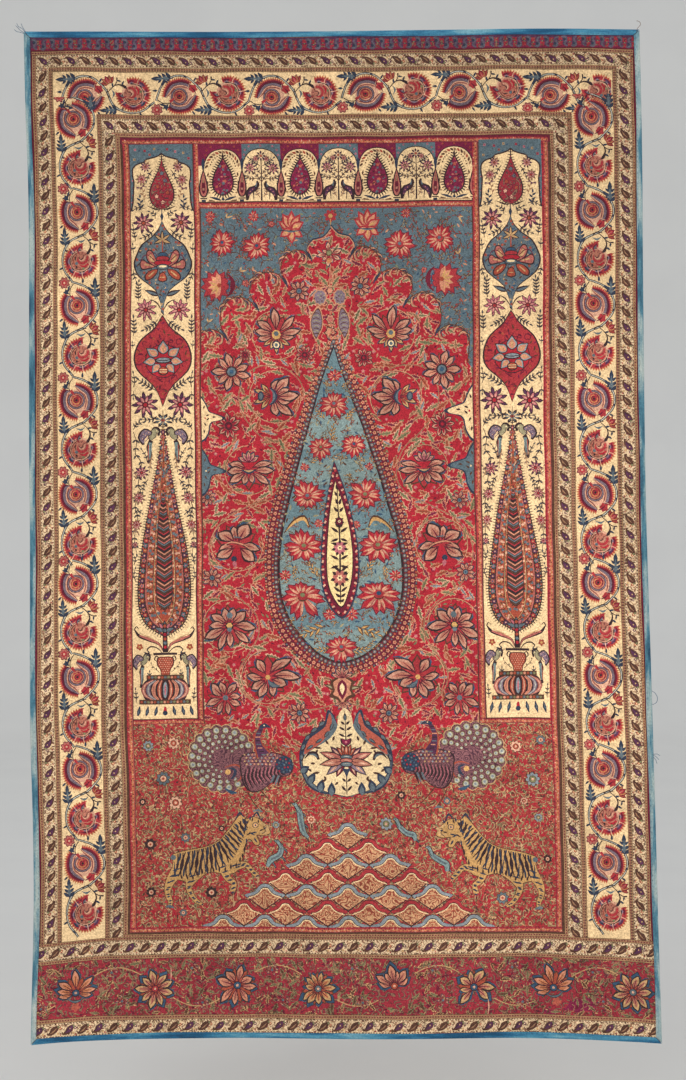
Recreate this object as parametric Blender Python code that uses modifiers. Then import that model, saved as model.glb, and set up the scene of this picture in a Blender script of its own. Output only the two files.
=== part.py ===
"""A hung kalamkari panel: one printed and painted cotton cloth, bound in folded blue cotton strips.

Lengths are in metres. The cloth hangs in the XZ plane with its face towards -Y, +X to the right of
that face and +Z up. The origin is the middle of the top edge, which is what the panel hangs by.
A place on the cloth is given by how far it lies across from the left fold and down from the top fold.
"""

import math

import bmesh
import bpy
from mathutils import Vector

# The panel, from one outer fold of the binding to the other
WIDTH = 1.050
DROP = 1.700
CLOTH_THICK = 0.0015
CELL = 0.042

# The binding: a strip folded round the cloth's cut edge, sewn down on both faces
BINDING_REACH = 0.0105
BINDING_THICK = 0.0010
CORNER_CELL = 0.012
BEND_STEPS = 4

# Air left between pieces that touch
AIR = 0.0003
MITRE_AIR = 0.0006
CUT_EDGE_SETBACK = 0.0002

# Side edges: distance down from the top, x of the outer fold
LEFT_EDGE = (
    (0.000, -0.5360),
    (0.128, -0.5330),
    (0.250, -0.5285),
    (0.367, -0.5268),
    (0.674, -0.5266),
    (0.855, -0.5252),
    (1.158, -0.5248),
    (1.340, -0.5200),
    (1.461, -0.5187),
    (1.604, -0.5210),
    (1.700, -0.5226),
)
RIGHT_EDGE = (
    (0.000, 0.5007),
    (0.128, 0.5037),
    (0.250, 0.5056),
    (0.431, 0.5068),
    (0.795, 0.5116),
    (1.098, 0.5209),
    (1.293, 0.5266),
    (1.461, 0.5310),
    (1.700, 0.5369),
)

# Top and bottom edges: distance across from the left fold, z of the outer fold
TOP_EDGE = (
    (0.000, 0.0007),
    (0.242, -0.0002),
    (0.525, 0.0000),
    (0.677, 0.0025),
    (0.854, 0.0052),
    (1.050, 0.0040),
)
BOTTOM_EDGE = (
    (0.000, -1.7037),
    (0.045, -1.6990),
    (0.097, -1.6961),
    (0.190, -1.6948),
    (0.530, -1.6946),
    (0.900, -1.6948),
    (1.000, -1.6970),
    (1.050, -1.7004),
)

# Soft upright ridges and troughs: middle at the top and at the bottom (across), half width,
# and how far they stand forward of the wall plane at the top and at the bottom
FOLDS = (
    (0.120, 0.095, 0.085, 0.0010, 0.0050),
    (0.330, 0.350, 0.090, -0.0008, -0.0045),
    (0.560, 0.585, 0.110, 0.0014, 0.0050),
    (0.770, 0.800, 0.080, -0.0010, -0.0042),
    (0.960, 0.985, 0.075, 0.0012, 0.0046),
)

# Places pulled forward or pressed back: across, down, half width, forward
SWELLS = (
    (0.020, 1.690, 0.110, 0.0070),
    (1.040, 1.695, 0.120, 0.0085),
    (0.020, 0.010, 0.070, -0.0015),
    (1.030, 0.010, 0.070, -0.0015),
    (0.520, 0.030, 0.200, 0.0018),
    (0.300, 0.900, 0.200, 0.0022),
    (0.790, 1.180, 0.220, -0.0020),
)

# Colour as 0 to 1 linear values, and roughness
CLOTH_FINISH = ((0.30, 0.05, 0.04), 0.85)
BINDING_FINISH = ((0.03, 0.22, 0.34), 0.80)


def mix(first, second, share):
    return first + (second - first) * share


def smooth(table, at):
    """The value at one place on a smooth curve through a table's (place, value) rows."""
    last = len(table) - 1
    i = 0
    while i < last - 1 and at > table[i + 1][0]:
        i += 1

    def slope(k):
        before, after = table[max(k - 1, 0)], table[min(k + 1, last)]
        return (after[1] - before[1]) / (after[0] - before[0])

    start, end = table[i], table[i + 1]
    span = end[0] - start[0]
    t = (at - start[0]) / span
    return (
        start[1] * (1 + 2 * t) * (1 - t) ** 2
        + end[1] * t * t * (3 - 2 * t)
        + span * slope(i) * t * (1 - t) ** 2
        - span * slope(i + 1) * t * t * (1 - t)
    )


def forward(across, down):
    """How far the cloth stands forward of the wall plane."""
    t = down / DROP
    total = 0.0
    for top_middle, bottom_middle, half_width, at_top, at_bottom in FOLDS:
        off = (across - mix(top_middle, bottom_middle, t)) / half_width
        total += mix(at_top, at_bottom, t) * math.exp(-off * off)
    for middle, height, half_width, rise in SWELLS:
        off = math.hypot(across - middle, down - height) / half_width
        total += rise * math.exp(-off * off)
    return total


def surface(across, down):
    """A point of the cloth's middle surface."""
    x = mix(smooth(LEFT_EDGE, down), smooth(RIGHT_EDGE, down), across / WIDTH)
    z = mix(smooth(TOP_EDGE, across), smooth(BOTTOM_EDGE, across), down / DROP)
    return Vector((x, -forward(across, down), z))


def place(across, down, lift=0.0):
    """A point that stands off the cloth's middle surface by lift, towards its face."""
    step = 0.002
    sideways = surface(across + step, down) - surface(across - step, down)
    downwards = surface(across, down + step) - surface(across, down - step)
    facing = downwards.cross(sideways).normalized()
    return surface(across, down) + facing * lift


def grid_lines(start, end, near_edge, length):
    """Lines from start to end, one at each binding's inner edge, and even cells between."""
    count = round((length - 2 * near_edge) / CELL)
    inner = [mix(near_edge, length - near_edge, k / count) for k in range(count + 1)]
    return [start] + inner + [end]


def sheet(name, columns, rows, point, thickness, material, collection):
    """A sheet of cloth: a grid whose crossings are moved by point(column, row), then thickened."""
    mesh = bpy.data.meshes.new(name)
    bm = bmesh.new()
    across, down = len(columns) - 1, len(rows) - 1
    bmesh.ops.create_grid(bm, x_segments=across, y_segments=down, size=1.0)
    for vertex in bm.verts:
        column = round((vertex.co.x + 1) / 2 * across)
        row = round((1 - vertex.co.y) / 2 * down)
        vertex.co = point(columns[column], rows[row])
    for face in bm.faces:
        face.smooth = True
    bm.to_mesh(mesh)
    bm.free()
    mesh.materials.append(material)
    piece = bpy.data.objects.new(name, mesh)
    collection.objects.link(piece)
    solidify = piece.modifiers.new("thickness", "SOLIDIFY")
    solidify.thickness = thickness
    solidify.offset = 0.0
    return piece


def finish(name, colour, roughness):
    material = bpy.data.materials.new(name)
    material.use_nodes = True
    shader = material.node_tree.nodes["Principled BSDF"]
    shader.inputs["Base Color"].default_value = (*colour, 1.0)
    shader.inputs["Roughness"].default_value = roughness
    shader.inputs["Metallic"].default_value = 0.0
    return material


def binding_section():
    """The folded strip's section as (depth in from the outer fold, lift off the cloth's middle)."""
    stand_off = CLOTH_THICK / 2 + AIR + BINDING_THICK / 2
    bend_centre = stand_off + BINDING_THICK / 2
    section = [(BINDING_REACH, stand_off)]
    for k in range(BEND_STEPS + 1):
        angle = math.pi * k / BEND_STEPS
        depth = bend_centre - stand_off * math.sin(angle)
        section.append((depth, stand_off * math.cos(angle)))
    section.append((BINDING_REACH, -stand_off))
    return section


def make_cloth(material, collection):
    inset = CLOTH_THICK / 2 + AIR + BINDING_THICK + CUT_EDGE_SETBACK
    columns = grid_lines(inset, WIDTH - inset, CORNER_CELL, WIDTH)
    rows = grid_lines(inset, DROP - inset, CORNER_CELL, DROP)
    sheet("cloth", columns, rows, place, CLOTH_THICK, material, collection)


def make_binding(edge, material, collection):
    """One strip along the top, bottom, left or right edge, with mitred ends."""
    length = WIDTH if edge in ("top", "bottom") else DROP
    lines = grid_lines(0.0, length, CORNER_CELL, length)

    def point(along, section_row):
        depth, lift = section_row
        mitre = depth + MITRE_AIR
        run = min(max(along, mitre), length - mitre)
        across, down = {
            "top": (run, depth),
            "bottom": (run, DROP - depth),
            "left": (depth, run),
            "right": (WIDTH - depth, run),
        }[edge]
        return place(across, down, lift)

    sheet("binding_" + edge, lines, binding_section(), point, BINDING_THICK, material, collection)


def main():
    for thing in list(bpy.data.objects):
        bpy.data.objects.remove(thing, do_unlink=True)
    collection = bpy.data.collections.new("kalamkari_panel")
    bpy.context.scene.collection.children.link(collection)
    make_cloth(finish("printed cotton", *CLOTH_FINISH), collection)
    for edge in ("top", "left", "right", "bottom"):
        make_binding(edge, finish("blue cotton, " + edge, *BINDING_FINISH), collection)


main()
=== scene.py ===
"""The looks of a hung kalamkari panel: its printed face, its back, its blue binding and its stitches.

The drawing is laid out flat in millimetres, across from the left fold and down from the top fold.
It is then cut into small flat pieces of one dye each, and laid on the hanging cloth's folds.
Lengths on the cloth's surface are in metres, in the frame's own axes: the face looks towards -Y.
"""

import math

import bpy
import numpy as np
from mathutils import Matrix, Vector
from mathutils.bvhtree import BVHTree
from mathutils.geometry import delaunay_2d_cdt


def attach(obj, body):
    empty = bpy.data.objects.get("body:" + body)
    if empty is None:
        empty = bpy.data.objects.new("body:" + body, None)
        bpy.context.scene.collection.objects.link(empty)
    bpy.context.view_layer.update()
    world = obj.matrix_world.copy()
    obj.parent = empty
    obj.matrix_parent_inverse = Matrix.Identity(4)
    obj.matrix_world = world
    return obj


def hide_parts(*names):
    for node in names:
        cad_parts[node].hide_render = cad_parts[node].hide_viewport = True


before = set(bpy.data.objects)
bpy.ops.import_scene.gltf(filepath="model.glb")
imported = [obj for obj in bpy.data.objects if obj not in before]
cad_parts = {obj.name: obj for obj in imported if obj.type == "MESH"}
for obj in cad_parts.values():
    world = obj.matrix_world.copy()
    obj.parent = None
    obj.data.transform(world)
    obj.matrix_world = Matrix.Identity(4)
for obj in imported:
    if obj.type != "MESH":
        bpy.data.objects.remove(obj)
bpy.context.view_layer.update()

# The panel, as it is in the part's source, in metres
WIDTH = 1.050
DROP = 1.700
CLOTH_THICK = 0.0015
BINDING_REACH = 0.0105
BINDING_THICK = 0.0010
BEND_STEPS = 6
AIR = 0.0003
MITRE_AIR = 0.0006
CUT_EDGE_SETBACK = 0.0002
INSET = CLOTH_THICK / 2 + AIR + BINDING_THICK + CUT_EDGE_SETBACK
LEFT_EDGE = (
    (0.000, -0.5360),
    (0.128, -0.5330),
    (0.250, -0.5285),
    (0.367, -0.5268),
    (0.674, -0.5266),
    (0.855, -0.5252),
    (1.158, -0.5248),
    (1.340, -0.5200),
    (1.461, -0.5187),
    (1.604, -0.5210),
    (1.700, -0.5226),
)
RIGHT_EDGE = (
    (0.000, 0.5007),
    (0.128, 0.5037),
    (0.250, 0.5056),
    (0.431, 0.5068),
    (0.795, 0.5116),
    (1.098, 0.5209),
    (1.293, 0.5266),
    (1.461, 0.5310),
    (1.700, 0.5369),
)
TOP_EDGE = (
    (0.000, 0.0007),
    (0.242, -0.0002),
    (0.525, 0.0000),
    (0.677, 0.0025),
    (0.854, 0.0052),
    (1.050, 0.0040),
)
BOTTOM_EDGE = (
    (0.000, -1.7037),
    (0.045, -1.6990),
    (0.097, -1.6961),
    (0.190, -1.6948),
    (0.530, -1.6946),
    (0.900, -1.6948),
    (1.000, -1.6970),
    (1.050, -1.7004),
)
FOLDS = (
    (0.120, 0.095, 0.085, 0.0010, 0.0050),
    (0.330, 0.350, 0.090, -0.0008, -0.0045),
    (0.560, 0.585, 0.110, 0.0014, 0.0050),
    (0.770, 0.800, 0.080, -0.0010, -0.0042),
    (0.960, 0.985, 0.075, 0.0012, 0.0046),
)
SWELLS = (
    (0.020, 1.690, 0.110, 0.0070),
    (1.040, 1.695, 0.120, 0.0085),
    (0.020, 0.010, 0.070, -0.0015),
    (1.030, 0.010, 0.070, -0.0015),
    (0.520, 0.030, 0.200, 0.0018),
    (0.300, 0.900, 0.200, 0.0022),
    (0.790, 1.180, 0.220, -0.0020),
)

# The panel's width and drop in the drawing's millimetres
WIDE = 1050.0
TALL = 1700.0

# What carries colour: every dye of the print as an sRGB hex value
DYES = {
    "cream": "EFCB98",
    "guard": "DFC098",
    "pale": "F2D2A0",
    "blush": "DCA688",
    "tan": "C49A6A",
    "gold": "D2A062",
    "brown": "9C7254",
    "umber": "5A3A2C",
    "outline": "3A282A",
    "indigo": "343A4A",
    "navy": "3A5268",
    "teal": "5C6C72",
    "lake": "687E82",
    "fawn": "C2945C",
    "husk": "C68C6C",
    "sea": "7F908C",
    "lemon": "F3D394",
    "slate": "626C70",
    "grey": "8A9092",
    "ash": "B8B4A4",
    "olive": "7C7A56",
    "sage": "9E9270",
    "purple": "5A334C",
    "maroon": "6A1F30",
    "crimson": "AC2833",
    "red": "A8363A",
    "rust": "A54C38",
    "brick": "B4665A",
    "coral": "B85C4A",
    "salmon": "D08A6C",
    "rose": "C48C74",
    "clay": "B4715C",
    "mauve": "84707A",
    "dusk": "625864",
    "amber": "C47C50",
    "pink": "BE6A70",
    "wine": "7E2240",
    "thicket": "A63E3A",
    "garnet": "9C303A",
    "scale": "D09C72",
    "plume": "86585A",
}

# Dyes whose ground is filled with fine work: 1 and 5 stems and leaves, 2 and 3 winding lines, 4 flecks
GROUNDS = {"thicket": 1.0, "scale": 2.0, "plume": 3.0, "guard": 4.0, "garnet": 5.0}


def linear(hex_value):
    """An sRGB hex colour as linear red, green and blue."""
    values = np.array([int(hex_value[k : k + 2], 16) / 255 for k in (0, 2, 4)])
    return np.where(values <= 0.04045, values / 12.92, ((values + 0.055) / 1.055) ** 2.4)


def opaque(hex_value):
    """The same, as a node's colour."""
    return (*linear(hex_value), 1)


def mix(first, second, share):
    """What lies between two values, the given share of the way."""
    return first + (second - first) * share


# The hanging cloth


def smooth(table, at):
    """Values on a smooth curve through a table's (place, value) rows."""
    places, values = np.array(table).T
    slopes = np.gradient(values, places)
    middle = slice(1, -1)
    slopes[middle] = (values[2:] - values[:-2]) / (places[2:] - places[:-2])
    i = np.clip(np.searchsorted(places, at) - 1, 0, len(places) - 2)
    span = places[i + 1] - places[i]
    t = (at - places[i]) / span
    return (
        values[i] * (1 + 2 * t) * (1 - t) ** 2
        + values[i + 1] * t * t * (3 - 2 * t)
        + span * slopes[i] * t * (1 - t) ** 2
        - span * slopes[i + 1] * t * t * (1 - t)
    )


def forward(across, down):
    """How far the cloth stands forward of the wall plane."""
    t = down / DROP
    total = 0.0
    for top_middle, bottom_middle, half_width, at_top, at_bottom in FOLDS:
        off = (across - mix(top_middle, bottom_middle, t)) / half_width
        total = total + mix(at_top, at_bottom, t) * np.exp(-off * off)
    for middle, height, half_width, rise in SWELLS:
        off = np.hypot(across - middle, down - height) / half_width
        total = total + rise * np.exp(-off * off)
    return total


def surface(across, down):
    """Points of the cloth's middle surface."""
    x = mix(smooth(LEFT_EDGE, down), smooth(RIGHT_EDGE, down), across / WIDTH)
    z = mix(smooth(TOP_EDGE, across), smooth(BOTTOM_EDGE, across), down / DROP)
    return np.stack([x, -forward(across, down), z], axis=-1)


def place(across, down, lift=0.0):
    """Points that stand off the middle surface by lift, and the way the face looks there."""
    step = 0.002
    sideways = surface(across + step, down) - surface(across - step, down)
    downwards = surface(across, down + step) - surface(across, down - step)
    facing = np.cross(downwards, sideways)
    facing /= np.linalg.norm(facing, axis=-1, keepdims=True)
    return surface(across, down) + facing * np.expand_dims(lift, -1), facing


# Drawing tools. A motif is a list of (dye, outline, frames) in painting order: later covers earlier,
# and where there are frames, only what lies inside all of them is painted.


def curve(points, closed=False, fine=3):
    """A smooth line through the points."""
    p = np.asarray(points, float)
    if fine < 2 or len(p) < 3:
        return p
    if closed:
        p = np.concatenate([p[-1:], p, p[:2]])
    else:
        p = np.concatenate([2 * p[:1] - p[1:2], p, 2 * p[-1:] - p[-2:-1]])
    t = (np.arange(fine) / fine)[:, None, None]
    a, b, c, d = p[:-3], p[1:-2], p[2:-1], p[3:]
    bend = 2 * b + (c - a) * t + (2 * a - 5 * b + 4 * c - d) * t**2 + (3 * b - a - 3 * c + d) * t**3
    line = (bend / 2).transpose(1, 0, 2).reshape(-1, 2)
    return line if closed else np.concatenate([line, p[-2:-1]])


def arc(radius, start, end, middle=(0, 0), steps=0):
    """Points on an arc, in degrees anticlockwise as seen; radius may be (across, up)."""
    wide, high = np.broadcast_to(radius, 2)
    steps = steps or max(3, int(abs(end - start) / 24) + 1)
    turn = np.radians(np.linspace(start, end, steps + 1))
    return np.stack([middle[0] + wide * np.cos(turn), middle[1] - high * np.sin(turn)], axis=1)


def disc(radius, middle=(0, 0), steps=9):
    """A round or oval outline; its radius is one number, or one across and one down."""
    return arc(radius, 0, 360, middle, steps)[:-1]


def spaced(path, count):
    """The same line through evenly spaced points."""
    steps = np.hypot(*np.diff(path, axis=0).T)
    at = np.concatenate([[0], np.cumsum(steps)])
    want = np.linspace(0, at[-1], count)
    return np.stack([np.interp(want, at, path[:, k]) for k in (0, 1)], axis=1)


def band(points, left, right, bumps=0, height=0.0, sharp=False, fine=3):
    """The outline of a line that spreads to its left and right; bumps run along its left edge."""
    path = curve(points, fine=fine)
    per = 2 if sharp else 4
    rise = 0.0
    if bumps:
        path = spaced(path, bumps * per + 1)
        rise = height * np.abs(np.sin(np.pi * np.arange(len(path)) / per))
    along = np.gradient(path, axis=0)
    side = np.stack([along[:, 1], -along[:, 0]], axis=1) / np.hypot(*along.T)[:, None]
    share = np.linspace(0, 1, len(path))

    def spread(width):
        rows = np.atleast_1d(width)
        return np.interp(share, np.linspace(0, 1, len(rows)), rows)

    above = path + side * (spread(left) + rise)[:, None]
    below = path - side * spread(right)[:, None]
    if bumps:
        below = below[:: per]
    return np.concatenate([above, below[::-1]])


def brush(points, width, fine=3):
    """The outline of a brush line of the given width, or widths along it."""
    half = np.atleast_1d(width) / 2
    return band(points, half, half, fine=fine)


def petals(count, radius, depth=0.35, per=4):
    """The outline of a flower: an even ring of round petals, or pointed ones where per is 2."""
    k = np.arange(count * per)
    swell = np.abs(np.sin(np.pi * k / per)) if per > 2 else (k % 2)
    size = radius * (1 - depth * (1 - swell))
    angle = np.pi / 2 + 2 * np.pi * k / (count * per)
    return np.stack([size * np.cos(angle), -size * np.sin(angle)], axis=1)


def leaf(length, width, bend=0.0, steps=4, swell=0.8):
    """A leaf's outline, from its stem at (0, 0) along +x; it bends down, and a high swell is blunt."""
    t = np.linspace(0, 1, steps + 1)
    half = width / 2 * np.sin(np.pi * t**swell)
    sag = bend * t * t
    upper = np.stack([length * t, sag - half], axis=1)
    lower = np.stack([length * t, sag + half], axis=1)
    return np.concatenate([upper, lower[-2:0:-1]])


def sized(outline, middle, share):
    """An outline grown or shrunk about a middle, by one share or by (across, down)."""
    return (outline - np.asarray(middle)) * share + middle


def rectangle(left, top, right, bottom):
    """An upright rectangle's outline."""
    return np.array([(left, top), (right, top), (right, bottom), (left, bottom)], float)


def strip_box(low, high, start, end, upright):
    """The rectangle of a strip between two rails, level or upright."""
    return rectangle(low, start, high, end) if upright else rectangle(start, low, end, high)


def rail(side, start, end, upright):
    """The straight line that runs along a strip at one side of it."""
    return [(side, start), (side, end)] if upright else [(start, side), (end, side)]


def ink(dye, *outlines):
    """Outlines of one dye as a motif."""
    return [(dye, np.asarray(outline, float), ()) for outline in outlines]


def strokes(*rows):
    """Brush lines as a motif: each row is a dye, the line's points, and its width or widths."""
    motif = []
    for dye, points, width in rows:
        motif += ink(dye, brush(points, width))
    return motif


def put(motif, at=(0, 0), turn=0.0, size=1.0, flip=False):
    """A copy of a motif, flipped top to bottom, sized, turned anticlockwise and moved to a place."""
    c, s = math.cos(math.radians(turn)), math.sin(math.radians(turn))
    grow = np.broadcast_to(size, 2) * (1, -1 if flip else 1)
    turned = np.array([(c, -s), (s, c)])
    moved = {}

    def move(outline):
        if id(outline) not in moved:
            moved[id(outline)] = (outline, outline * grow @ turned + at)
        return moved[id(outline)][1]

    return [(dye, move(outline), tuple(move(f) for f in frames)) for dye, outline, frames in motif]


def about(motif, middle, turn=0.0, size=1.0):
    """A motif turned and sized about a middle that is not (0, 0)."""
    across, down = middle
    return put(put(motif, (-across, -down)), middle, turn, size)


def within(edge, motif):
    """The part of a motif that lies inside an edge."""
    edge = np.asarray(edge, float)
    return [(dye, outline, (*frames, edge)) for dye, outline, frames in motif]


def redyed(motif, **changes):
    """The same motif in other dyes."""
    return [(changes.get(dye, dye), outline, frames) for dye, outline, frames in motif]


def steps_between(start, end, pitch):
    """Even places between two ends, about a pitch apart, half a pitch in from each end."""
    count = max(1, round(abs(end - start) / pitch))
    return start + (np.arange(count) + 0.5) * (end - start) / count


# Small motifs that many parts share


def floret(radius, petal="red", heart="cream", count=5, per=4):
    """A small round flower."""
    return ink(petal, petals(count, radius, 0.35, per)) + ink(heart, disc(radius * 0.36, steps=6))


def twig(points, size=6.0, dye="outline", leaves=4):
    """A dark twig with pointed leaves to both sides and one at its tip."""
    path = curve(points, fine=4)
    motif = ink(dye, brush(path, (1.0, 0.7), fine=1))
    marks = spaced(path, leaves + 2)
    for k in range(1, leaves + 1):
        heading = marks[min(k + 1, leaves + 1)] - marks[k - 1]
        turn = math.degrees(math.atan2(-heading[1], heading[0]))
        side = 48 if k % 2 else -48
        motif += put(ink(dye, leaf(size, size * 0.42)), marks[k], turn + side)
    return motif + put(ink(dye, leaf(size, size * 0.4)), points[-1], 90)


def oak_leaf(length, dye="indigo"):
    """A dark leaf of long lobes in pairs, from its stem along +x."""
    motif = ink(dye, brush([(0, 0), (length * 0.6, 0)], (1.6, 3.0), fine=1))
    motif += ink(dye, np.array(leaf(length * 0.46, length * 0.2, 0, 4)) + (length * 0.54, 0))
    for k in range(3):
        at = length * (0.1 + 0.2 * k)
        reach = length * (0.38 - 0.05 * k)
        motif += put(ink(dye, leaf(reach, reach * 0.46, 0, 3)), (at, 0), 50)
        motif += put(ink(dye, leaf(reach, reach * 0.46, 0, 3)), (at, 0), -50)
    return motif


# The borders


# Rails: the places across or down where each border's lines run
BAND_OUT = (12.0, 19.5)
GUARD_OUT = (19.5, 40.5)
BAND_MID = (41.0, 49.0)
GROUND = (49.0, 121.0)
BAND_IN = (121.0, 129.5)
GUARD_IN = (129.5, 152.0)
BAND_LAST = (152.0, 160.5)
CORAL = (163.5, 174.0)
RIGHT_BAND_OUT = (1032.5, 1038.0)
RIGHT_GUARD_OUT = (1009.5, 1032.5)
RIGHT_BAND_MID = (1002.0, 1009.5)
RIGHT_GROUND = (931.0, 1002.0)
RIGHT_BAND_IN = (922.5, 931.0)
RIGHT_GUARD_IN = (899.5, 922.5)
RIGHT_BAND_LAST = (893.0, 899.5)
RIGHT_CORAL = (879.5, 889.5)
TOP_STRIP = (9.0, 32.0)
TOP_BAND_OUT = (33.0, 40.0)
TOP_GUARD_OUT = (40.0, 60.5)
TOP_BAND_MID = (61.0, 69.0)
TOP_GROUND = (69.0, 140.5)
TOP_BAND_IN = (140.5, 148.5)
TOP_GUARD_IN = (148.5, 170.5)
TOP_BAND_LAST = (170.5, 178.5)
TOP_CORAL = (181.5, 189.5)
PANEL = (175.0, 190.0, 879.5, 1512.0)
FOOT_CORAL = (1512.0, 1520.0)
FOOT_BAND = (1522.0, 1532.5)
FOOT_GUARD = (1533.0, 1556.5)
FOOT_BAND_MID = (1556.5, 1563.5)
FOOT_RED = (1563.5, 1659.0)
FOOT_BAND_LOW = (1659.0, 1667.0)
FOOT_GUARD_LOW = (1667.0, 1690.5)

GUARD_PITCH = 24.5
DOT_PITCH = 4.6

# Where the open rosettes stand: across along the top border and down along both side borders, how far
# each one of the top row is off its line, and where the row and the two columns run
ROSETTES_ACROSS = (103.0, 264.5, 422.0, 581.5, 741.5, 896.5)
ROSETTES_DOWN = (149.0, 306.0, 464.0, 623.5, 782.0, 932.0, 1089.0, 1245.0, 1403.0)
ROSETTE_LEANS = (2, 0, 1, -3, -4, 2)
TOP_ROW = 108
LEFT_COLUMN = 83
RIGHT_COLUMN = 966


def along_row(motif, start, end, middle, pitch, upright=False, flip=False):
    """A motif repeated along a row, or down an upright one."""
    row = []
    for at in steps_between(start, end, pitch):
        if upright:
            row += put(motif, (middle, at), -90, 1, flip)
        else:
            row += put(motif, (at, middle), 0, 1, flip)
    return row


def dotted_band(start, end, low, high, upright=False, rows=1):
    """A narrow brown band between dark lines, with rows of small dark dots."""
    box = strip_box(low, high, start, end, upright)
    motif = ink("brown", box)
    wide = high - low
    for side, width, dye in (
        (0.5, 0.8, "umber"), (wide - 0.5, 0.8, "umber"), (1.3, 0.6, "tan"), (wide - 1.3, 0.6, "tan")
    ):
        motif += ink(dye, brush(rail(low + side, start, end, upright), width))
    for row in range(rows):
        middle = low + wide * (row + 1) / (rows + 1)
        dot = ink("outline" if row else "maroon", rectangle(-1.1, -0.9, 1.1, 0.9))
        motif += along_row(dot, start, end, middle, DOT_PITCH, upright)
    return motif


def guard_leaf(veined):
    """A slanting paisley leaf of the guard bands, from upper left to lower right."""
    body = curve(
        [(-10, -7), (-4, -7.8), (3.5, -4.6), (8, 1), (9.6, 7.6), (2.8, 7), (-3.6, 3.4), (-6, -2.2)], True, 2
    )
    motif = ink("umber", body)
    if veined:
        motif += ink("brown", brush([(-6, -4.8), (0, -1.6), (5, 4)], (0.8, 3.4, 1)))
        motif += ink("outline", brush([(-7, -5.6), (0, 0.2), (6.6, 5.6)], 0.9))
    else:
        motif += ink("purple", body * 0.7 + (0.7, 0.6))
        motif += ink("tan", disc(1.3, (2.2, 1.6), 5))
        motif += ink("outline", brush([(-6, -4), (-1, 0.8), (1, 4.6)], 1.0))
    return motif


def guard_unit():
    """Two leaves of a guard band and the small flowers and dots between them."""
    half = GUARD_PITCH / 2
    motif = []
    for at, veined in ((-half, False), (half, True)):
        winding = [(-12, 8), (-7.5, 7.6), (-6, 3.2), (-9.5, 0)]
        motif += put(ink("brown", brush(winding, 1.1, 2)), (at, 0))
        motif += put(guard_leaf(veined), (at, 0))
        motif += put(floret(3.1, "rust" if veined else "purple", "cream", 5, 2), (at + half - 1.2, 2.6))
        motif += put(ink("olive", leaf(6, 3, 0, 3)), (at + half - 5, 7.4), 60)
        motif += put(ink("umber", leaf(6, 2.6, 0, 3)), (at + half + 2.5, -2.5), 75)
        motif += ink("tan", disc(2.0, (at + half - 4.4, -5.4), 6))
        for x, y, dye in (
            (-0.5, -7.6, "red"), (4.4, -6.8, "umber"), (-6.5, -1.6, "maroon"), (2.6, 8.4, "umber")
        ):
            motif += ink(dye, disc(1.3, (at + half + x, y), 4))
    return motif


def guard(start, end, low, high, upright=False, flip=False):
    """A cream guard band with a row of slanting leaves and dotted edges."""
    box = strip_box(low, high, start, end, upright)
    motif = ink("guard", box)
    dot = ink("umber", rectangle(-1.0, -0.7, 1.0, 0.7))
    for side in (low + 1.3, high - 1.3):
        motif += along_row(dot, start, end, side, 4.9, upright)
    size = (high - low) / 22.5
    middle = (low + high) / 2
    unit = put(guard_unit(), (0, 0), 0, (1, size))
    return motif + along_row(unit, start, end, middle, 2 * GUARD_PITCH, upright, flip)


def layers(outer, inner, rows):
    """Layers between two edges with the same number of points: each row is (dye, share, share)."""
    outer, inner = curve(outer), curve(inner)
    motif = []
    for dye, first, last in rows:
        edge = mix(outer, inner, first)
        far = mix(outer, inner, last)
        motif += ink(dye, np.concatenate([edge, far[::-1]]))
    return motif


def crescent(outer, inner):
    """A petal of the open rosette: toothed red edge, dark band, grey and blush inside."""
    motif = ink("amber", band(outer[:-1], 2.4, 0.5, 19, 4.0, True))
    motif += ink("red", band(outer[:-1], 0.6, 0.6, 19, 3.4, True))
    rows = (
        ("maroon", 0.0, 1.0),
        ("outline", 0.26, 0.98),
        ("mauve", 0.34, 0.98),
        ("outline", 0.44, 0.98),
        ("mauve", 0.48, 0.98),
        ("outline", 0.62, 0.98),
        ("blush", 0.68, 1.0),
        ("clay", 0.80, 1.0),
        ("maroon", 0.88, 0.94),
    )
    return motif + layers(outer, inner, rows)


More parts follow.
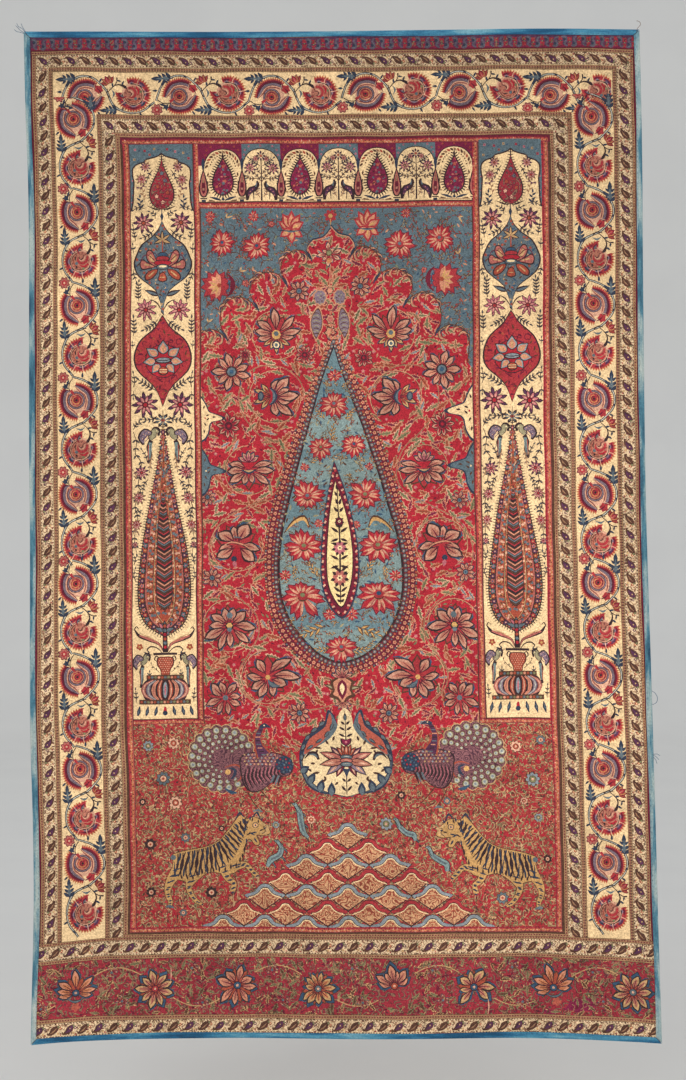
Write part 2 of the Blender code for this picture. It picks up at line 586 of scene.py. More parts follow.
def open_rosette():
    """The border's rosette of two commas round a disc, about 60 mm across."""
    outer = [(-27, 3), (-24.5, -10), (-15, -21.5), (0, -26), (12, -24.5), (18.5, -19.5), (16, -11)]
    inner = [(-24, 5), (-15, -3), (-9, -11), (-1, -13.4), (6, -13), (11, -12), (14, -11)]
    motif = ink("blush", disc(20, (1, 1), 14))
    motif += crescent(outer, inner)
    motif += put(crescent(outer, inner), (0.5, 2), 178, (1.06, 1))
    motif += ink("red", petals(5, 8.4, 0.3, 2) + (23, -12))
    motif += ink("maroon", brush([(20, -14), (25, -9), (28, -2)], (1, 3, 1)))
    motif += ink("blush", brush([(17, -21), (14.5, -12), (18, -6), (30, -2.4)], (0.8, 1.4, 1.2, 0.8)))
    motif += ink("outline", disc(15, (-1, 2), 14))
    motif += ink("mauve", disc(14, (-1, 2), 14))
    motif += ink("outline", disc(12.4, (-1, 2), 12))
    motif += ink("clay", disc(11.4, (-1, 2), 12)) + ink("red", petals(7, 9.6, 0.25, 2) + (-1, 2))
    motif += strokes(
        ("maroon", arc(8.6, 190, 20, (-1, 2)), (0.6, 1.8, 0.6)),
        ("amber", arc(6, 120, -190, (-1, 2)), (1, 2.0, 2.0, 1)),
        ("maroon", arc(4, 20, -220, (-1, 2)), (0.8, 1.6, 0.8)),
    )
    motif += ink("outline", disc(2.4, (-1, 1.5), 6))
    motif += ink("blush", brush(arc(9.6, -30, -130, (-1, 2)), (0.4, 1.2, 0.4)))
    motif += ink("red", brush([(-18, 11), (-13, 8), (-10, 4)], (5, 4, 1)))
    return motif


def shut_rosette():
    """The border's rosette of one serrated ring, open where its calyx enters at the upper left."""
    ring = arc(25, 114, -188, steps=22)
    motif = ink("amber", band(ring, 2.6, 0, 32, 4.0, True, fine=1))
    motif += ink("red", band(ring, 0.8, 5.6, 32, 3.6, True, fine=1))
    motif += ink("blush", disc(20, (0, 0), 16))
    for start, end, dye in (
        (112, 84, "maroon"),
        (66, 34, "purple"),
        (26, -12, "maroon"),
        (-30, -58, "indigo"),
        (-66, -112, "maroon"),
        (-122, -150, "purple"),
        (-154, -186, "maroon"),
    ):
        motif += strokes(
            (dye, arc(23.4, start, end), (1.4, 4.4, 1.4)),
            ("mauve", arc(20.6, start - 4, end + 4), (0.6, 3.4, 0.6)),
            ("outline", arc(19, start - 2, end + 2), (0.4, 1.2, 0.4)),
        )
    motif += ink("outline", brush(arc(18.0, 104, -184), 1.1))
    motif += ink("clay", disc(16.6, (0, 0.5), 15))
    for turn in range(0, 360, 24):
        motif += put(
            ink("maroon", brush([(0, 0), (4, 1)], (1.2, 0.6))), arc(11.4, turn, turn, (0, 0.5), 1)[0], turn
        )
    for turn in (70, -27, -140, 8):
        motif += ink(
            "blush", brush([(0, 0), (10, 0)], (1.5, 1.2)) @ rotation(turn) + arc(18, turn, turn, steps=1)[0]
        )
    motif += strokes(
        ("umber", arc(14.6, 70, -40, (0, 1)), (0.5, 1.3, 0.5)),
        ("umber", arc(14.6, -70, -176, (0, 1)), (0.5, 1.5, 0.5)),
        ("rust", arc(10.4, 30, -150, (0, 2)), (0.6, 1.6, 0.6)),
        ("red", [(-8, -12), (0, -10), (4, -3), (1, 4), (-7, 4.5)], (3, 4.4, 4.4, 4, 1)),
        ("outline", [(-10, -5), (-4, -3), (-3, 1.6), (-8, 3)], (0.8, 1.6, 1.4, 0.6)),
        ("blush", [(-9, -8), (-3, -6), (-0.4, -1), (-4, 3)], (1, 1.6, 1.4, 0.5)),
        ("crimson", [(5, -13), (9.5, -6), (7, 1.5)], (3, 3.6, 1)),
    )
    motif += ink("slate", disc(2.8, (4, 7), 7))
    motif += ink("outline", disc(2.0, (10, 7), 6))
    motif += ink("olive", disc(2.4, (13, -5), 6))
    motif += strokes(
        ("outline", [(-9, 8), (-4, 9.4), (0, 8.4)], (1, 2.2, 0.6)),
        ("red", [(-30, -5), (-27, 1), (-20, 5), (-12, 4)], (1, 5, 5, 1)),
        ("maroon", [(-26, -1), (-21, 4), (-14, 5)], (1, 3, 0.6)),
        ("slate", [(-23, 0), (-19, 3.4), (-15, 3.4)], (0.6, 1.6, 0.6)),
        ("outline", [(-19, -17), (-14, -13), (-11, -10)], (2, 5.6, 1.6)),
    )
    return motif


def bell(radius):
    """A half-open flower of pointed petals that spread up from its cup."""
    motif = []
    for k, dye in ((0, "rust"), (4, "rust"), (1, "amber"), (3, "amber"), (2, "red")):
        turn = 30 + 30 * k
        motif += put(ink("maroon", leaf(radius * 1.1, radius * 0.62, 0, 3)), (0, radius * 0.4), turn)
        motif += put(ink(dye, leaf(radius * 0.96, radius * 0.42, 0, 3)), (0, radius * 0.4), turn)
        motif += put(
            ink("maroon", brush([(radius * 0.3, 0), (radius * 0.84, 0)], (1.2, 0.5), 1)), (0, radius * 0.4),
            turn,
        )
    return motif + ink("blush", brush([(0, radius * 0.3), (0, -radius * 0.3)], (0.6, 1.4, 0.5)))


def rotation(turn):
    """The matrix that turns points about (0, 0), in degrees, against the clock as seen."""
    c, s = math.cos(math.radians(turn)), math.sin(math.radians(turn))
    return np.array([(c, -s), (s, c)])


def border_block():
    """One repeat of the rosette border, about its open rosette's middle, as it lies along the top."""
    stem = [
        (-41, 9), (-37, -4), (-32, -15), (-24, -25), (-12, -32), (0, -34), (13, -31), (26, -21), (36, -10),
        (41, 2), (47, 14), (57, 22), (71, 27), (86, 27), (99, 23), (112, 13), (118, 9),
    ]
    motif = ink(
        "outline", brush([(39, -8), (44, -14), (50, -19), (58, -21), (66, -18)], (1.4, 1.6, 2.0, 2.4, 4))
    )
    motif += strokes(
        ("outline", [(50, -19), (54, -26), (54, -33)], (1.4, 1.8, 2.6)),
        ("outline", [(-38, 8), (-30, 13), (-20, 14), (-13, 10)], (1.6, 1.4, 1.6)),
        ("outline", [(-31, 12), (-25, 21), (-14, 25)], (1.4, 2.8, 1.0)),
        ("outline", [(28, 23), (18, 25), (12, 29)], (2.2, 1.6, 0.8)),
        ("outline", stem, (3.8, 4.2, 4.2, 3.8)),
        ("ash", stem, (1.3, 1.7, 1.7, 1.3)),
        ("outline", [(41, 2), (37, -5), (38, -14)], (2.0, 2.0, 1.2)),
    )
    for at, turn, length in (
        ((54, -28), -10, 8),
        ((47, -16), 100, 9),
        ((62, -20), 60, 9),
        ((-25, -25), 228, 13),
        ((-28, 18), 150, 9),
        ((-18, 25), 20, 8),
        ((-38, -8), 178, 10),
        ((62, 24), 60, 11),
        ((92, 26), -60, 9),
        ((107, 18), 40, 8),
        ((24, -24), 60, 9),
        ((20, 26), -50, 9),
        ((6, -34), -30, 7),
    ):
        motif += put(ink("indigo", leaf(length, length * 0.42, 0, 3)), at, turn)
    motif += ink("slate", brush([(45, -12), (49, -5), (46, 3)], (0.8, 3.8, 0.8)))
    motif += put(ink("indigo", petals(5, 6.4, 0.45, 2)), (-24, 20))
    for length, at, turn in ((38, (-12, -29), 181), (34, (57, 23), 183)):
        motif += put(
            oak_leaf(length) + put(oak_leaf(length * 0.6, "slate"), (length * 0.16, 0), 0, (1, 0.6)), at,
            turn,
        )
    motif += put(bell(14), (38, -27), 30)
    motif += put(ink("maroon", petals(8, 10.4, 0.25)), (-40, 24))
    motif += put(ink("brick", petals(8, 8.8, 0.3)), (-40, 24))
    motif += put(ink("red", petals(6, 5.4, 0.3)), (-40, 24))
    motif += put(ink("blush", disc(1.9, steps=6)), (-40, 24))
    motif += put(shut_rosette(), (82, -4))
    return motif + open_rosette()


def rosette_borders():
    """The cream ground and its rosettes: one row along the top, and one down each side."""
    low, high = TOP_GROUND
    motif = ink("cream", rectangle(GROUND[0], low, RIGHT_GROUND[1], high))
    motif += ink("cream", rectangle(GROUND[0], low, GROUND[1], FOOT_BAND[1]))
    motif += ink("cream", rectangle(RIGHT_GROUND[0], low, RIGHT_GROUND[1], FOOT_BAND[1]))
    block = border_block()
    row = []
    for across, lean in zip(ROSETTES_ACROSS, ROSETTE_LEANS):
        row += put(block, (across, TOP_ROW + lean))
    row = within(rectangle(GROUND[0], low, RIGHT_GROUND[1] - 2, high), row)
    columns = []
    for k, down in enumerate(ROSETTES_DOWN):
        columns += put(block, (LEFT_COLUMN + 2 * math.sin(k), down), -90)
        columns += put(block, (RIGHT_COLUMN, down), -90)
    box = rectangle(GROUND[0], 110, RIGHT_GROUND[1], FOOT_BAND[0] + 4)
    return motif + row + within(box, columns)


def side_borders():
    """The upright bands at both sides, from the outer fold in."""
    top, foot = TOP_BAND_OUT[0], FOOT_BAND[1]
    motif = ink("maroon", rectangle(0, TOP_STRIP[1], BAND_OUT[0], foot))
    motif += ink("maroon", rectangle(RIGHT_BAND_OUT[1], TOP_STRIP[1], WIDE, foot))
    motif += dotted_band(top, foot, *BAND_OUT, True)
    motif += dotted_band(top, foot, *RIGHT_BAND_OUT, True)
    motif += guard(TOP_GUARD_OUT[0], foot, *GUARD_OUT, True)
    motif += guard(TOP_GUARD_OUT[0], foot, *RIGHT_GUARD_OUT, True, True)
    motif += dotted_band(TOP_BAND_MID[0], foot, *BAND_MID, True, 2)
    motif += dotted_band(TOP_BAND_MID[0], foot, *RIGHT_BAND_MID, True, 2)
    return motif


def inner_side_borders():
    """The upright bands between the rosettes and the panel."""
    top, foot = TOP_BAND_IN[0], FOOT_BAND[1]
    motif = ink("umber", rectangle(BAND_IN[0], top, PANEL[0], foot))
    motif += ink("umber", rectangle(PANEL[2], top, RIGHT_BAND_IN[1], foot))
    motif += dotted_band(top, foot, *BAND_IN, True, 2)
    motif += dotted_band(top, foot, *RIGHT_BAND_IN, True, 2)
    motif += guard(TOP_GUARD_IN[0], foot, *GUARD_IN, True)
    motif += guard(TOP_GUARD_IN[0], foot, *RIGHT_GUARD_IN, True, True)
    motif += dotted_band(TOP_BAND_LAST[0], foot, *BAND_LAST, True)
    motif += dotted_band(TOP_BAND_LAST[0], foot, *RIGHT_BAND_LAST, True)
    return motif


def top_borders():
    """The level bands along the top, above the rosettes."""
    motif = top_strip()
    motif += dotted_band(BAND_OUT[0], RIGHT_BAND_OUT[1], *TOP_BAND_OUT)
    motif += guard(GUARD_OUT[0], RIGHT_GUARD_OUT[1], *TOP_GUARD_OUT)
    motif += dotted_band(BAND_MID[0], RIGHT_BAND_MID[1], *TOP_BAND_MID, False, 2)
    return motif


def inner_top_borders():
    """The level bands between the rosettes and the panel."""
    motif = dotted_band(BAND_IN[0], RIGHT_BAND_IN[1], *TOP_BAND_IN, False, 2)
    motif += guard(GUARD_IN[0], RIGHT_GUARD_IN[1], *TOP_GUARD_IN)
    motif += dotted_band(BAND_LAST[0], RIGHT_BAND_LAST[1], *TOP_BAND_LAST, False)
    motif += ink("maroon", rectangle(160.5, TOP_BAND_LAST[1], RIGHT_BAND_LAST[0], PANEL[1]))
    return motif


def top_strip():
    """The dark strip along the top: grey and blue hooks between pairs of crimson flowers."""
    low, high = TOP_STRIP
    motif = ink("wine", rectangle(0, 0, WIDE, high + 1))
    motif += ink("purple", rectangle(0, low, WIDE, high - 4))
    motif += ink("maroon", brush([(0, high), (WIDE, high)], 2.2))
    motif += ink("brown", brush([(0, low - 0.4), (WIDE, low - 0.4)], 2.0))
    for k, at in enumerate(steps_between(10, 1040, 15.6)):
        hook = ink("dusk", brush([(-6.5, -7), (-2, -8.5), (2, -6), (1, -1), (-3, 1)], (1.5, 3.6, 3.6, 3, 1)))
        hook += ink("dusk", brush([(5, 8), (0.5, 7), (-1.5, 3), (2.5, 1)], (1.4, 3.4, 3.2, 1)))
        hook += ink("slate", brush([(-4, -6.4), (0, -6.6), (1.4, -3.4)], (0.4, 1.4, 0.4)))
        hook += ink("indigo", disc(2.6, (-1.5, -3.5), 6))
        hook += ink("garnet", petals(4, 5.6, 0.4, 2) + (7.4, -3.4), petals(4, 5, 0.4, 2) + (7.4, 5.6))
        hook += ink("olive", disc(1.3, (7.4, 1), 5))
        motif += put(hook, (at, (low + high) / 2 + 1), 0, 1, k % 2 == 1)
    return motif


def coral_stripes():
    """The coral stripes round the panel."""
    motif = coral_stripe(*CORAL, TOP_CORAL[0], FOOT_CORAL[1], True)
    motif += coral_stripe(*RIGHT_CORAL, TOP_CORAL[0], FOOT_CORAL[1], True)
    motif += coral_stripe(*TOP_CORAL, CORAL[0], RIGHT_CORAL[1], False)
    return motif + coral_stripe(*FOOT_CORAL, CORAL[0], RIGHT_CORAL[1], False)


def coral_stripe(low, high, start, end, upright):
    """A coral stripe between darker edges, with a broken wavy line and pale and dark spots in its bends."""
    box = strip_box(low, high, start, end, upright)
    motif = ink("red", box)
    wide = high - low
    for share, width, dye in ((0.56, 0.56, "coral"), (0.6, 0.2, "amber"), (0.93, 0.12, "clay")):
        side = low + wide * share
        motif += ink(dye, brush(rail(side, start, end, upright), wide * width, 1))
    chance = np.random.default_rng(int(start + low))
    count = int((end - start) / 3.4)
    for k, along in enumerate(np.linspace(start, end, count + 1)[:-1]):
        off = low + wide * (0.34 if k % 2 else 0.66) + chance.uniform(-0.6, 0.6)
        dye = ("maroon", "blush", "red", "maroon", "rose")[int(chance.integers(5))]
        mark = ink(dye, brush([(-1.6, -0.9), (0, 0.5), (1.8, -0.3)], (0.8, 1.7, 0.6), 1))
        motif += put(mark, (off, along + 1.7) if upright else (along + 1.7, off), chance.uniform(0, 180))
    for side in (low + 0.4, high - 0.4):
        motif += ink("maroon", brush(rail(side, start, end, upright), 0.8))
    return motif


def foot_borders():
    """The level bands and guards below the panel."""
    left, right = 0.0, WIDE
    motif = ink("umber", rectangle(BAND_LAST[1], FOOT_CORAL[1], RIGHT_BAND_LAST[0], FOOT_BAND[0] + 1))
    motif += dotted_band(left, right, FOOT_BAND[1] - 5.5, FOOT_BAND[1] + 0.5)
    motif += dotted_band(BAND_LAST[0], RIGHT_BAND_LAST[1], FOOT_BAND[0] + 0.5, FOOT_BAND[1] - 4, False)
    motif += guard(left, right, *FOOT_GUARD, False, True)
    motif += dotted_band(left, right, *FOOT_BAND_MID)
    motif += foot_band()
    motif += dotted_band(left, right, *FOOT_BAND_LOW)
    motif += guard(left, right, *FOOT_GUARD_LOW, False, True)
    motif += ink("maroon", rectangle(left, FOOT_GUARD_LOW[1], right, TALL))
    return motif


# Motifs that the panel uses


def both(motif):
    """A motif and its mirror image about the upright through (0, 0)."""
    return motif + put(motif, (0, 0), 0, (-1, 1))


def daisy(count, radius, petal="purple", heart="red", plump=0.42, hole=0.3, turn=90.0):
    """A flower of separate leaf-like petals round a heart."""
    motif = []
    for k in range(count):
        angle = turn + 360 * k / count
        start = arc(radius * hole, angle, angle, steps=1)[0]
        motif += put(ink(petal, leaf(radius * (1 - hole), radius * plump, 0, 3)), start, angle)
    return motif + ink(heart, disc(radius * hole * 0.9, steps=7))


def comb(points, reach, pitch, dye="outline", width=1.5, fine=3):
    """Short ticks that stand out to the left of a line, like the teeth of a comb."""
    path = curve(points, fine=fine)
    long = np.hypot(*np.diff(path, axis=0).T).sum()
    path = spaced(path, max(2, int(long / pitch)))
    along = np.gradient(path, axis=0)
    side = np.stack([along[:, 1], -along[:, 0]], axis=1) / np.hypot(*along.T)[:, None]
    return ink(dye, *(brush([at, at + out * reach], (width, width * 0.6)) for at, out in zip(path, side)))


def mirrored(points, fine=3):
    """A closed outline from its right half, listed from top to bottom."""
    half = curve(points, fine=fine)
    other = half[::-1] * (-1, 1)
    return np.concatenate([half, other[1:-1]])


def bouquet(radius, dye="purple", heart="red"):
    """A loose full-blown flower with dark leaves round it, as on the pillars."""
    motif = daisy(9, radius * 1.15, "outline", heart, 0.3, 0.4, 40)
    motif += daisy(9, radius * 1.02, dye, heart, 0.24, 0.4, 40)
    motif += daisy(8, radius * 0.84, "outline", heart, 0.46, 0.2, 15)
    motif += daisy(8, radius * 0.76, "pink", "cream", 0.34, 0.24, 15)
    motif += daisy(8, radius * 0.6, "blush", "cream", 0.14, 0.3, 15)
    motif += ink("outline", disc(radius * 0.26, steps=7))
    return motif + ink(heart, disc(radius * 0.17, steps=6))


def leafy(points, size, leaves, dye="outline"):
    """A stem of plump leaves to both sides, each with a lighter streak."""
    path = curve(points)
    motif = ink(dye, brush(points, (1.2, 1.7, 1.0)))
    spots = spaced(path, leaves + 2)[1:]
    ways = np.gradient(spots, axis=0)
    for k, (at, way) in enumerate(zip(spots, ways)):
        turn = math.degrees(math.atan2(-way[1], way[0]))
        last = k == leaves
        for side in (0,) if last else (48, -48):
            blade = (
                ink(dye, leaf(size, size * 0.42, 0, 3))
                + ink("slate", brush([(size * 0.25, 0), (size * 0.7, 0)], (0.5, 1), 1))
            )
            motif += put(blade, at, turn + side, 1 - 0.12 * (k % 2))
    return motif


PILLAR_MIDDLES = (228.5, 824.5)
PILLAR_HALF = 53.5


def pillar_top():
    """The pillar's blue head over a cusped arch, and the red drop that hangs in it."""
    edge = [
        (0, 206), (5, 210), (14, 213), (26, 216), (31, 221), (41, 224), (49, 231), (50, 244), (48, 256),
        (49, 272), (50, 290), (53, 303),
    ]
    motif = ink("teal", rectangle(-PILLAR_HALF, 190, PILLAR_HALF, 302.6))
    spots = (
        (-44, 199, "pink"), (-28, 201, "crimson"), (-12, 198, "tan"), (10, 199, "crimson"),
        (24, 203, "pink"),
    )
    for x, y, dye in (*spots, (38, 205, "tan"), (47, 214, "crimson"), (-46, 216, "tan"), (-20, 208, "rust")):
        motif += put(floret(2.8, dye, "indigo", 4, 2), (x, y))
        motif += put(ink("navy", leaf(6, 2.2)), (x + 4, y + 3), 30)
    for x, y in ((50, 240), (50, 252), (49, 264), (50, 276), (51, 288)):
        motif += both(ink("pink", disc(1.6, (x, y), 5)))
    arch = mirrored(np.concatenate([curve(edge), [(0, 304)]]), 1)
    motif += ink("cream", arch) + both(ink("outline", brush(edge, 2.4)))
    drop = mirrored(
        [(0, 212), (2, 222), (7, 235), (14, 249), (20, 262), (22.5, 275), (19, 288), (10, 297), (0, 301)]
    )
    motif += comb(np.concatenate([drop, drop[:1]]), 4.2, 4.4, fine=1)
    motif += ink("outline", drop)
    motif += ink("garnet", drop * (0.9, 0.95) + (0, 14))
    motif += ink("outline", brush([(0, 205), (0, 218)], (1, 2.6)))
    for x, y, dye in (
        (-7, 262, "rust"), (6, 252, "slate"), (-9, 278, "blush"), (10, 272, "rust"), (0, 240, "slate"),
        (2, 288, "blush"),
    ):
        motif += put(ink("maroon", petals(5, 5.4, 0.4, 2)) + ink(dye, petals(5, 3.9, 0.4, 2)), (x, y), 40)
        motif += put(
            ink("maroon", brush([(0, 0), (4, -3), (8, 1), (6, 5)], 1.2, 2)), (x * 0.6, y + 8), 50 * x
        )
    side = put(bouquet(8.6, "purple", "rust"), (28, 229)) + put(bouquet(9.6, "brown", "red"), (35, 250))
    side += leafy([(16, 234), (22, 242), (26, 252)], 6, 2) + leafy([(30, 298), (40, 296), (48, 300)], 7, 2)
    for stem in (
        ([(30, 284), (33, 272), (35, 258)], 7, "brown", 5),
        ([(20, 226), (27, 222)], 6, "brown", 2),
        ([(26, 262), (34, 262), (43, 266)], 5, "purple", 3),
        ([(36, 300), (37, 290), (38, 281)], 8, "indigo", 4),
    ):
        side += twig(*stem)
    side += ink("outline", brush([(3, 301), (12, 299), (25, 294)], (1, 3, 0.6)))
    motif += ink("indigo", brush([(0, 300), (0, 306), (0, 312), (0, 319)], (1, 1.4, 6, 1.4)))
    return motif + both(side)


def medallion(ground, halves, top, bottom):
    """A pointed medallion's outline and ground, and the ground's own outline."""
    shape = mirrored(halves)
    motif = ink("outline", shape)
    middle = (top + bottom) / 2
    inner = sized(shape, (0, middle), (0.945, 0.965))
    return motif + ink(ground, inner), inner


def pillar_medallions():
    """The blue medallion with its palmette, and the red one below it."""
    blue = [
        (0, 317), (2, 323), (7, 333), (19, 346), (34, 357), (41, 366), (46, 377), (50, 388), (49, 400),
        (43, 412), (32, 422), (20, 431), (11, 440), (6, 452), (2.6, 463), (2.6, 480),
    ]
    motif, inner = medallion("slate", blue, 317, 480)
    chance = np.random.default_rng(3)
    curls = [
        ink("navy", brush([(0, 0), (4, -3), (9, 0), (7, 5)], 1.2, 2)), ink("umber", leaf(8, 2.8, 1, 3)),
        ink("navy", leaf(8, 3, 1, 3)), ink("rust", petals(5, 3.2, 0.5, 2)), ink("tan", leaf(6, 2.2, 0, 2)),
    ]
    motif += within(inner, thicket((-50, 322, 50, 478), 7.2, curls, chance))
    wing = ink(
        "outline",
        curve([(9, 392), (14, 377), (20, 369), (27, 371), (29, 380), (24, 390), (12, 397)], True, 3),
    )
    wing += ink(
        "brick",
        curve([(10, 391), (15, 378), (21, 371), (26, 373), (27, 380), (22, 389), (12, 395)], True, 3),
    )
    wing += ink("tan", curve([(14, 388), (18, 379), (22, 376), (24, 381), (19, 388)], True, 3))
    wing += ink("outline", curve([(12, 396), (26, 389), (34, 384), (40, 391), (36, 401), (24, 400)], True, 3))
    wing += ink("brick", curve([(14, 396), (27, 390), (34, 386), (38, 391), (35, 399), (24, 398)], True, 3))
    wing += ink("tan", brush([(18, 395), (31, 392)], (1.6, 2.8)))
    wing += ink("outline", curve([(8, 400), (22, 402), (31, 410), (29, 419), (18, 416), (10, 408)], True, 3))
    wing += ink("rust", curve([(10, 401), (21, 403), (29, 411), (27, 417), (18, 414), (11, 407)], True, 3))
    wing += ink("tan", brush([(14, 404), (24, 412)], (1.6, 2.6)))
    motif += ink("rust", brush([(0, 336), (0, 372)], (0.8, 2.4)))
    crown = []
    for turn, length in ((90, 17), (35, 17), (-20, 16)):
        crown += put(
            ink("outline", leaf(length, 6.6, 0, 4)) + ink("tan", leaf(length * 0.86, 3.6, 0, 4)), (0, 352),
            turn,
        )
    for turn, size in ((0, 1.0), (24, 0.7), (-24, 0.66)):
        line = brush([(14, 386), (24, 378), (33, 379), (38, 388)], 1.4)
        wing += about(ink("maroon", line), (0, 390), turn, size)
    motif += both(crown + about(wing, (0, 392), 0, (1.0, 1.06)))
    for y, wide, dye in ((377, 9, "navy"), (383, 12, "red"), (390, 16, "crimson"), (397, 11, "slate")):
        motif += ink("outline", disc((wide, 5.4), (0, y), 12))
        motif += ink(dye, disc((wide - 1.2, 4), (0, y), 12))
    motif += ink("pale", disc((7, 2), (0, 396), 10))
    motif += ink("outline", mirrored([(0, 405), (5, 409), (8, 420), (0, 424)]))
    motif += ink("rust", mirrored([(0, 407), (4, 410), (6.4, 419), (0, 422)]))
    motif += ink("tan", brush([(-4, 415), (4, 415)], 1.4))

    red = [
        (0, 478), (4, 484), (13, 498), (27, 510), (38, 520), (45, 532), (49.5, 548), (48, 564), (41, 576),
        (28, 588), (16, 600), (8, 613), (2.4, 628), (0, 634),
    ]
    body, inner = medallion("red", red, 478, 634)
    motif += body
    curls = [
        ink("maroon", brush([(0, 0), (5, -3), (10, 0), (8, 5)], 1.5, 2)), ink("umber", leaf(9, 3, 1, 3)),
        ink("maroon", leaf(9, 3.6, 1, 3)), ink("rust", petals(5, 4, 0.5, 2)),
        ink("wine", leaf(8, 3.4, 0, 2)),
    ]
    motif += within(inner, thicket((-50, 486, 50, 630), 9.4, curls, chance))
    motif += ink("outline", disc((31, 29), (0, 556), 14)) + ink("crimson", disc((29.6, 27.6), (0, 556), 14))
    motif += put(lotus_palmette(), (0, 554), 0, (1.22, 1.12))
    return motif


def lotus_palmette():
    """Eight pointed petals round a level boat, pale inside and edged in dark blue."""
    petal = [(0, 0), (4, -6), (10, -7.5), (17, -3), (21, 0), (17, 3), (10, 7.5), (4, 6)]
    motif = []
    rows = ((90, 8, 1.06), (38, 9, 0.98), (-8, 10, 0.9), (-52, 8, 0.86))
    for turn, off, size in rows:
        blade = ink("outline", curve(petal, True, 3))
        blade += put(ink("grey", curve(petal, True, 3)), (1.4, 0), 0, 0.84)
        blade += put(ink("salmon", curve(petal, True, 3)), (2, 0), 0, (0.7, 0.6))
        blade += ink("tan", brush([(4, 0), (12, 0)], (1.2, 2.4)))
        start = arc(off, turn, turn, steps=1)[0]
        blade = put(blade, start, turn, size)
        motif += blade if turn == 90 else both(blade)
    motif += ink("outline", disc((12, 5), (0, 1), 14)) + ink("grey", disc((10, 3.4), (0, 0.6), 12))
    motif += ink("outline", brush([(-10, 0), (0, 1.4), (10, 0)], 1.3))
    motif += ink("outline", disc((7.5, 7), (0, 17), 12)) + ink("rust", disc((6, 5.4), (0, 16.6), 12))
    for y in (15, 18.4):
        motif += ink("pale", brush([(-5.4, y), (5.4, y)], 1.1))
    return motif


def pillar_garden():
    """The flowers, leaves and birds on the pillar's cream ground, all in mirrored pairs."""
    side = put(bouquet(17, "purple", "rust"), (32, 323)) + leafy([(14, 334), (24, 344), (34, 348)], 8, 3)
    side += leafy([(46, 354), (48, 342), (50, 330)], 7, 3) + leafy([(12, 316), (12, 308), (20, 304)], 7, 2)
    side += leafy([(50, 374), (51, 362)], 7, 1) + leafy([(50, 400), (50, 410), (46, 420)], 7, 2)
    side += leafy([(40, 456), (42, 440), (41, 424)], 8.4, 5)
    side += ink("outline", leaf(29, 9, -3, 5) @ rotation(14) + (4, 446))
    side += ink("slate", leaf(22, 4, -2, 4) @ rotation(14) + (8, 445))
    side += ink("outline", brush([(2, 470), (10, 458), (22, 452)], (1, 2.4, 0.6)))
    side += put(bouquet(17.5, "pink", "red"), (28, 470)) + leafy([(8, 486), (18, 496), (30, 502)], 8, 4)
    side += leafy([(49, 514), (48, 500), (49, 484)], 8, 4) + leafy([(50, 536), (51, 526)], 6, 1)
    side += leafy([(12, 606), (26, 598), (40, 588)], 9, 4) + leafy([(50, 600), (48, 590), (50, 578)], 7, 2)
    side += put(bouquet(21, "purple", "crimson"), (30, 630)) + leafy([(50, 606), (50, 616)], 7, 1)
    side += leafy([(10, 650), (22, 656), (34, 655)], 8, 3) + leafy([(50, 672), (44, 662), (36, 660)], 7, 3)
    side += put(parrot(), (19, 686), 0, (0.9, 0.92))
    vine_line = [
        (50, 676), (45, 694), (48, 712), (38, 728), (44, 764), (40, 776), (49, 800), (44, 822), (50, 852),
        (47, 880),
    ]
    side += leafy(vine_line, 8.6, 15)
    for x, y, radius, dye in (
        (38, 744, 12, "purple"), (42, 787, 11, "brown"), (46, 832, 9, "rust"), (49, 866, 6, "purple")
    ):
        side += put(bouquet(radius, dye, "red"), (x, y))
    for stem in (
        ([(28, 726), (30, 716), (36, 706)], 6, 2),
        ([(27, 756), (34, 764), (36, 776)], 6.4, 3),
        ([(51, 814), (44, 808), (38, 812)], 6, 3),
        ([(52, 848), (49, 838), (44, 846)], 6, 2, "brown"),
        ([(19, 712), (22, 724), (24, 740)], 6.4, 3, "brown"),
        ([(52, 900), (49, 892), (52, 884)], 6, 2),
        ([(51, 758), (47, 750), (51, 742)], 6, 2, "brown"),
        ([(48, 928), (52, 918), (50, 908)], 6, 2),
    ):
        side += leafy(*stem)
    motif = put(daisy(8, 14, "outline", "slate", 0.36, 0.3, 67), (0, 657), 0, (1.4, 0.9))
    motif += put(daisy(8, 10, "slate", "rust", 0.24, 0.3, 67), (0, 657), 0, (1.4, 0.9))
    motif += ink("outline", brush([(0, 640), (0, 690)], (1, 2.4)))
    return motif + both(side)


def parrot():
    """A bird with spotted wings and a long striped tail, its back to the left; (0, 0) is its breast."""
    motif = ink("outline", brush([(2, 4), (6, 16), (5, 30), (8, 46)], (8, 10, 8, 4)))
    motif += strokes(
        ("sea", [(3, 8), (5, 22), (6, 40)], (5, 7.4, 2.6)),
        ("rust", [(7, 12), (8, 40)], (1.6, 1.4)),
        ("outline", [(3, 10), (4, 26), (6, 42)], 0.9),
        ("outline", [(-12, -4), (-13, -13), (-6, -16), (-2, -6), (6, 2)], (4, 7.6, 9, 14, 9)),
        ("sage", [(-12, -10), (-6, -14), (-2, -6), (4, 2)], (4, 6.6, 11.4, 6.4)),
        ("outline", [(0, -8), (12, -10), (20, 0), (16, 12)], (6, 16, 14, 4)),
        ("mauve", [(2, -8), (12, -9), (18, 0), (16, 9)], (4, 13, 11, 2)),
    )
    for start, end in (((2, -3), (13, 6)), ((6, -8), (18, 4)), ((8, -14), (22, -2))):
        motif += ink("purple", brush([start, end], (0.8, 1.5)))
    for x, y in ((6, -10), (11, -13), (12, -5), (16, -7), (18, 1), (14, 4), (8, -2)):
        motif += ink("blush", disc(1.2, (x, y), 4))
    return motif + ink("pale", disc(1.4, (-9, -13), 6))


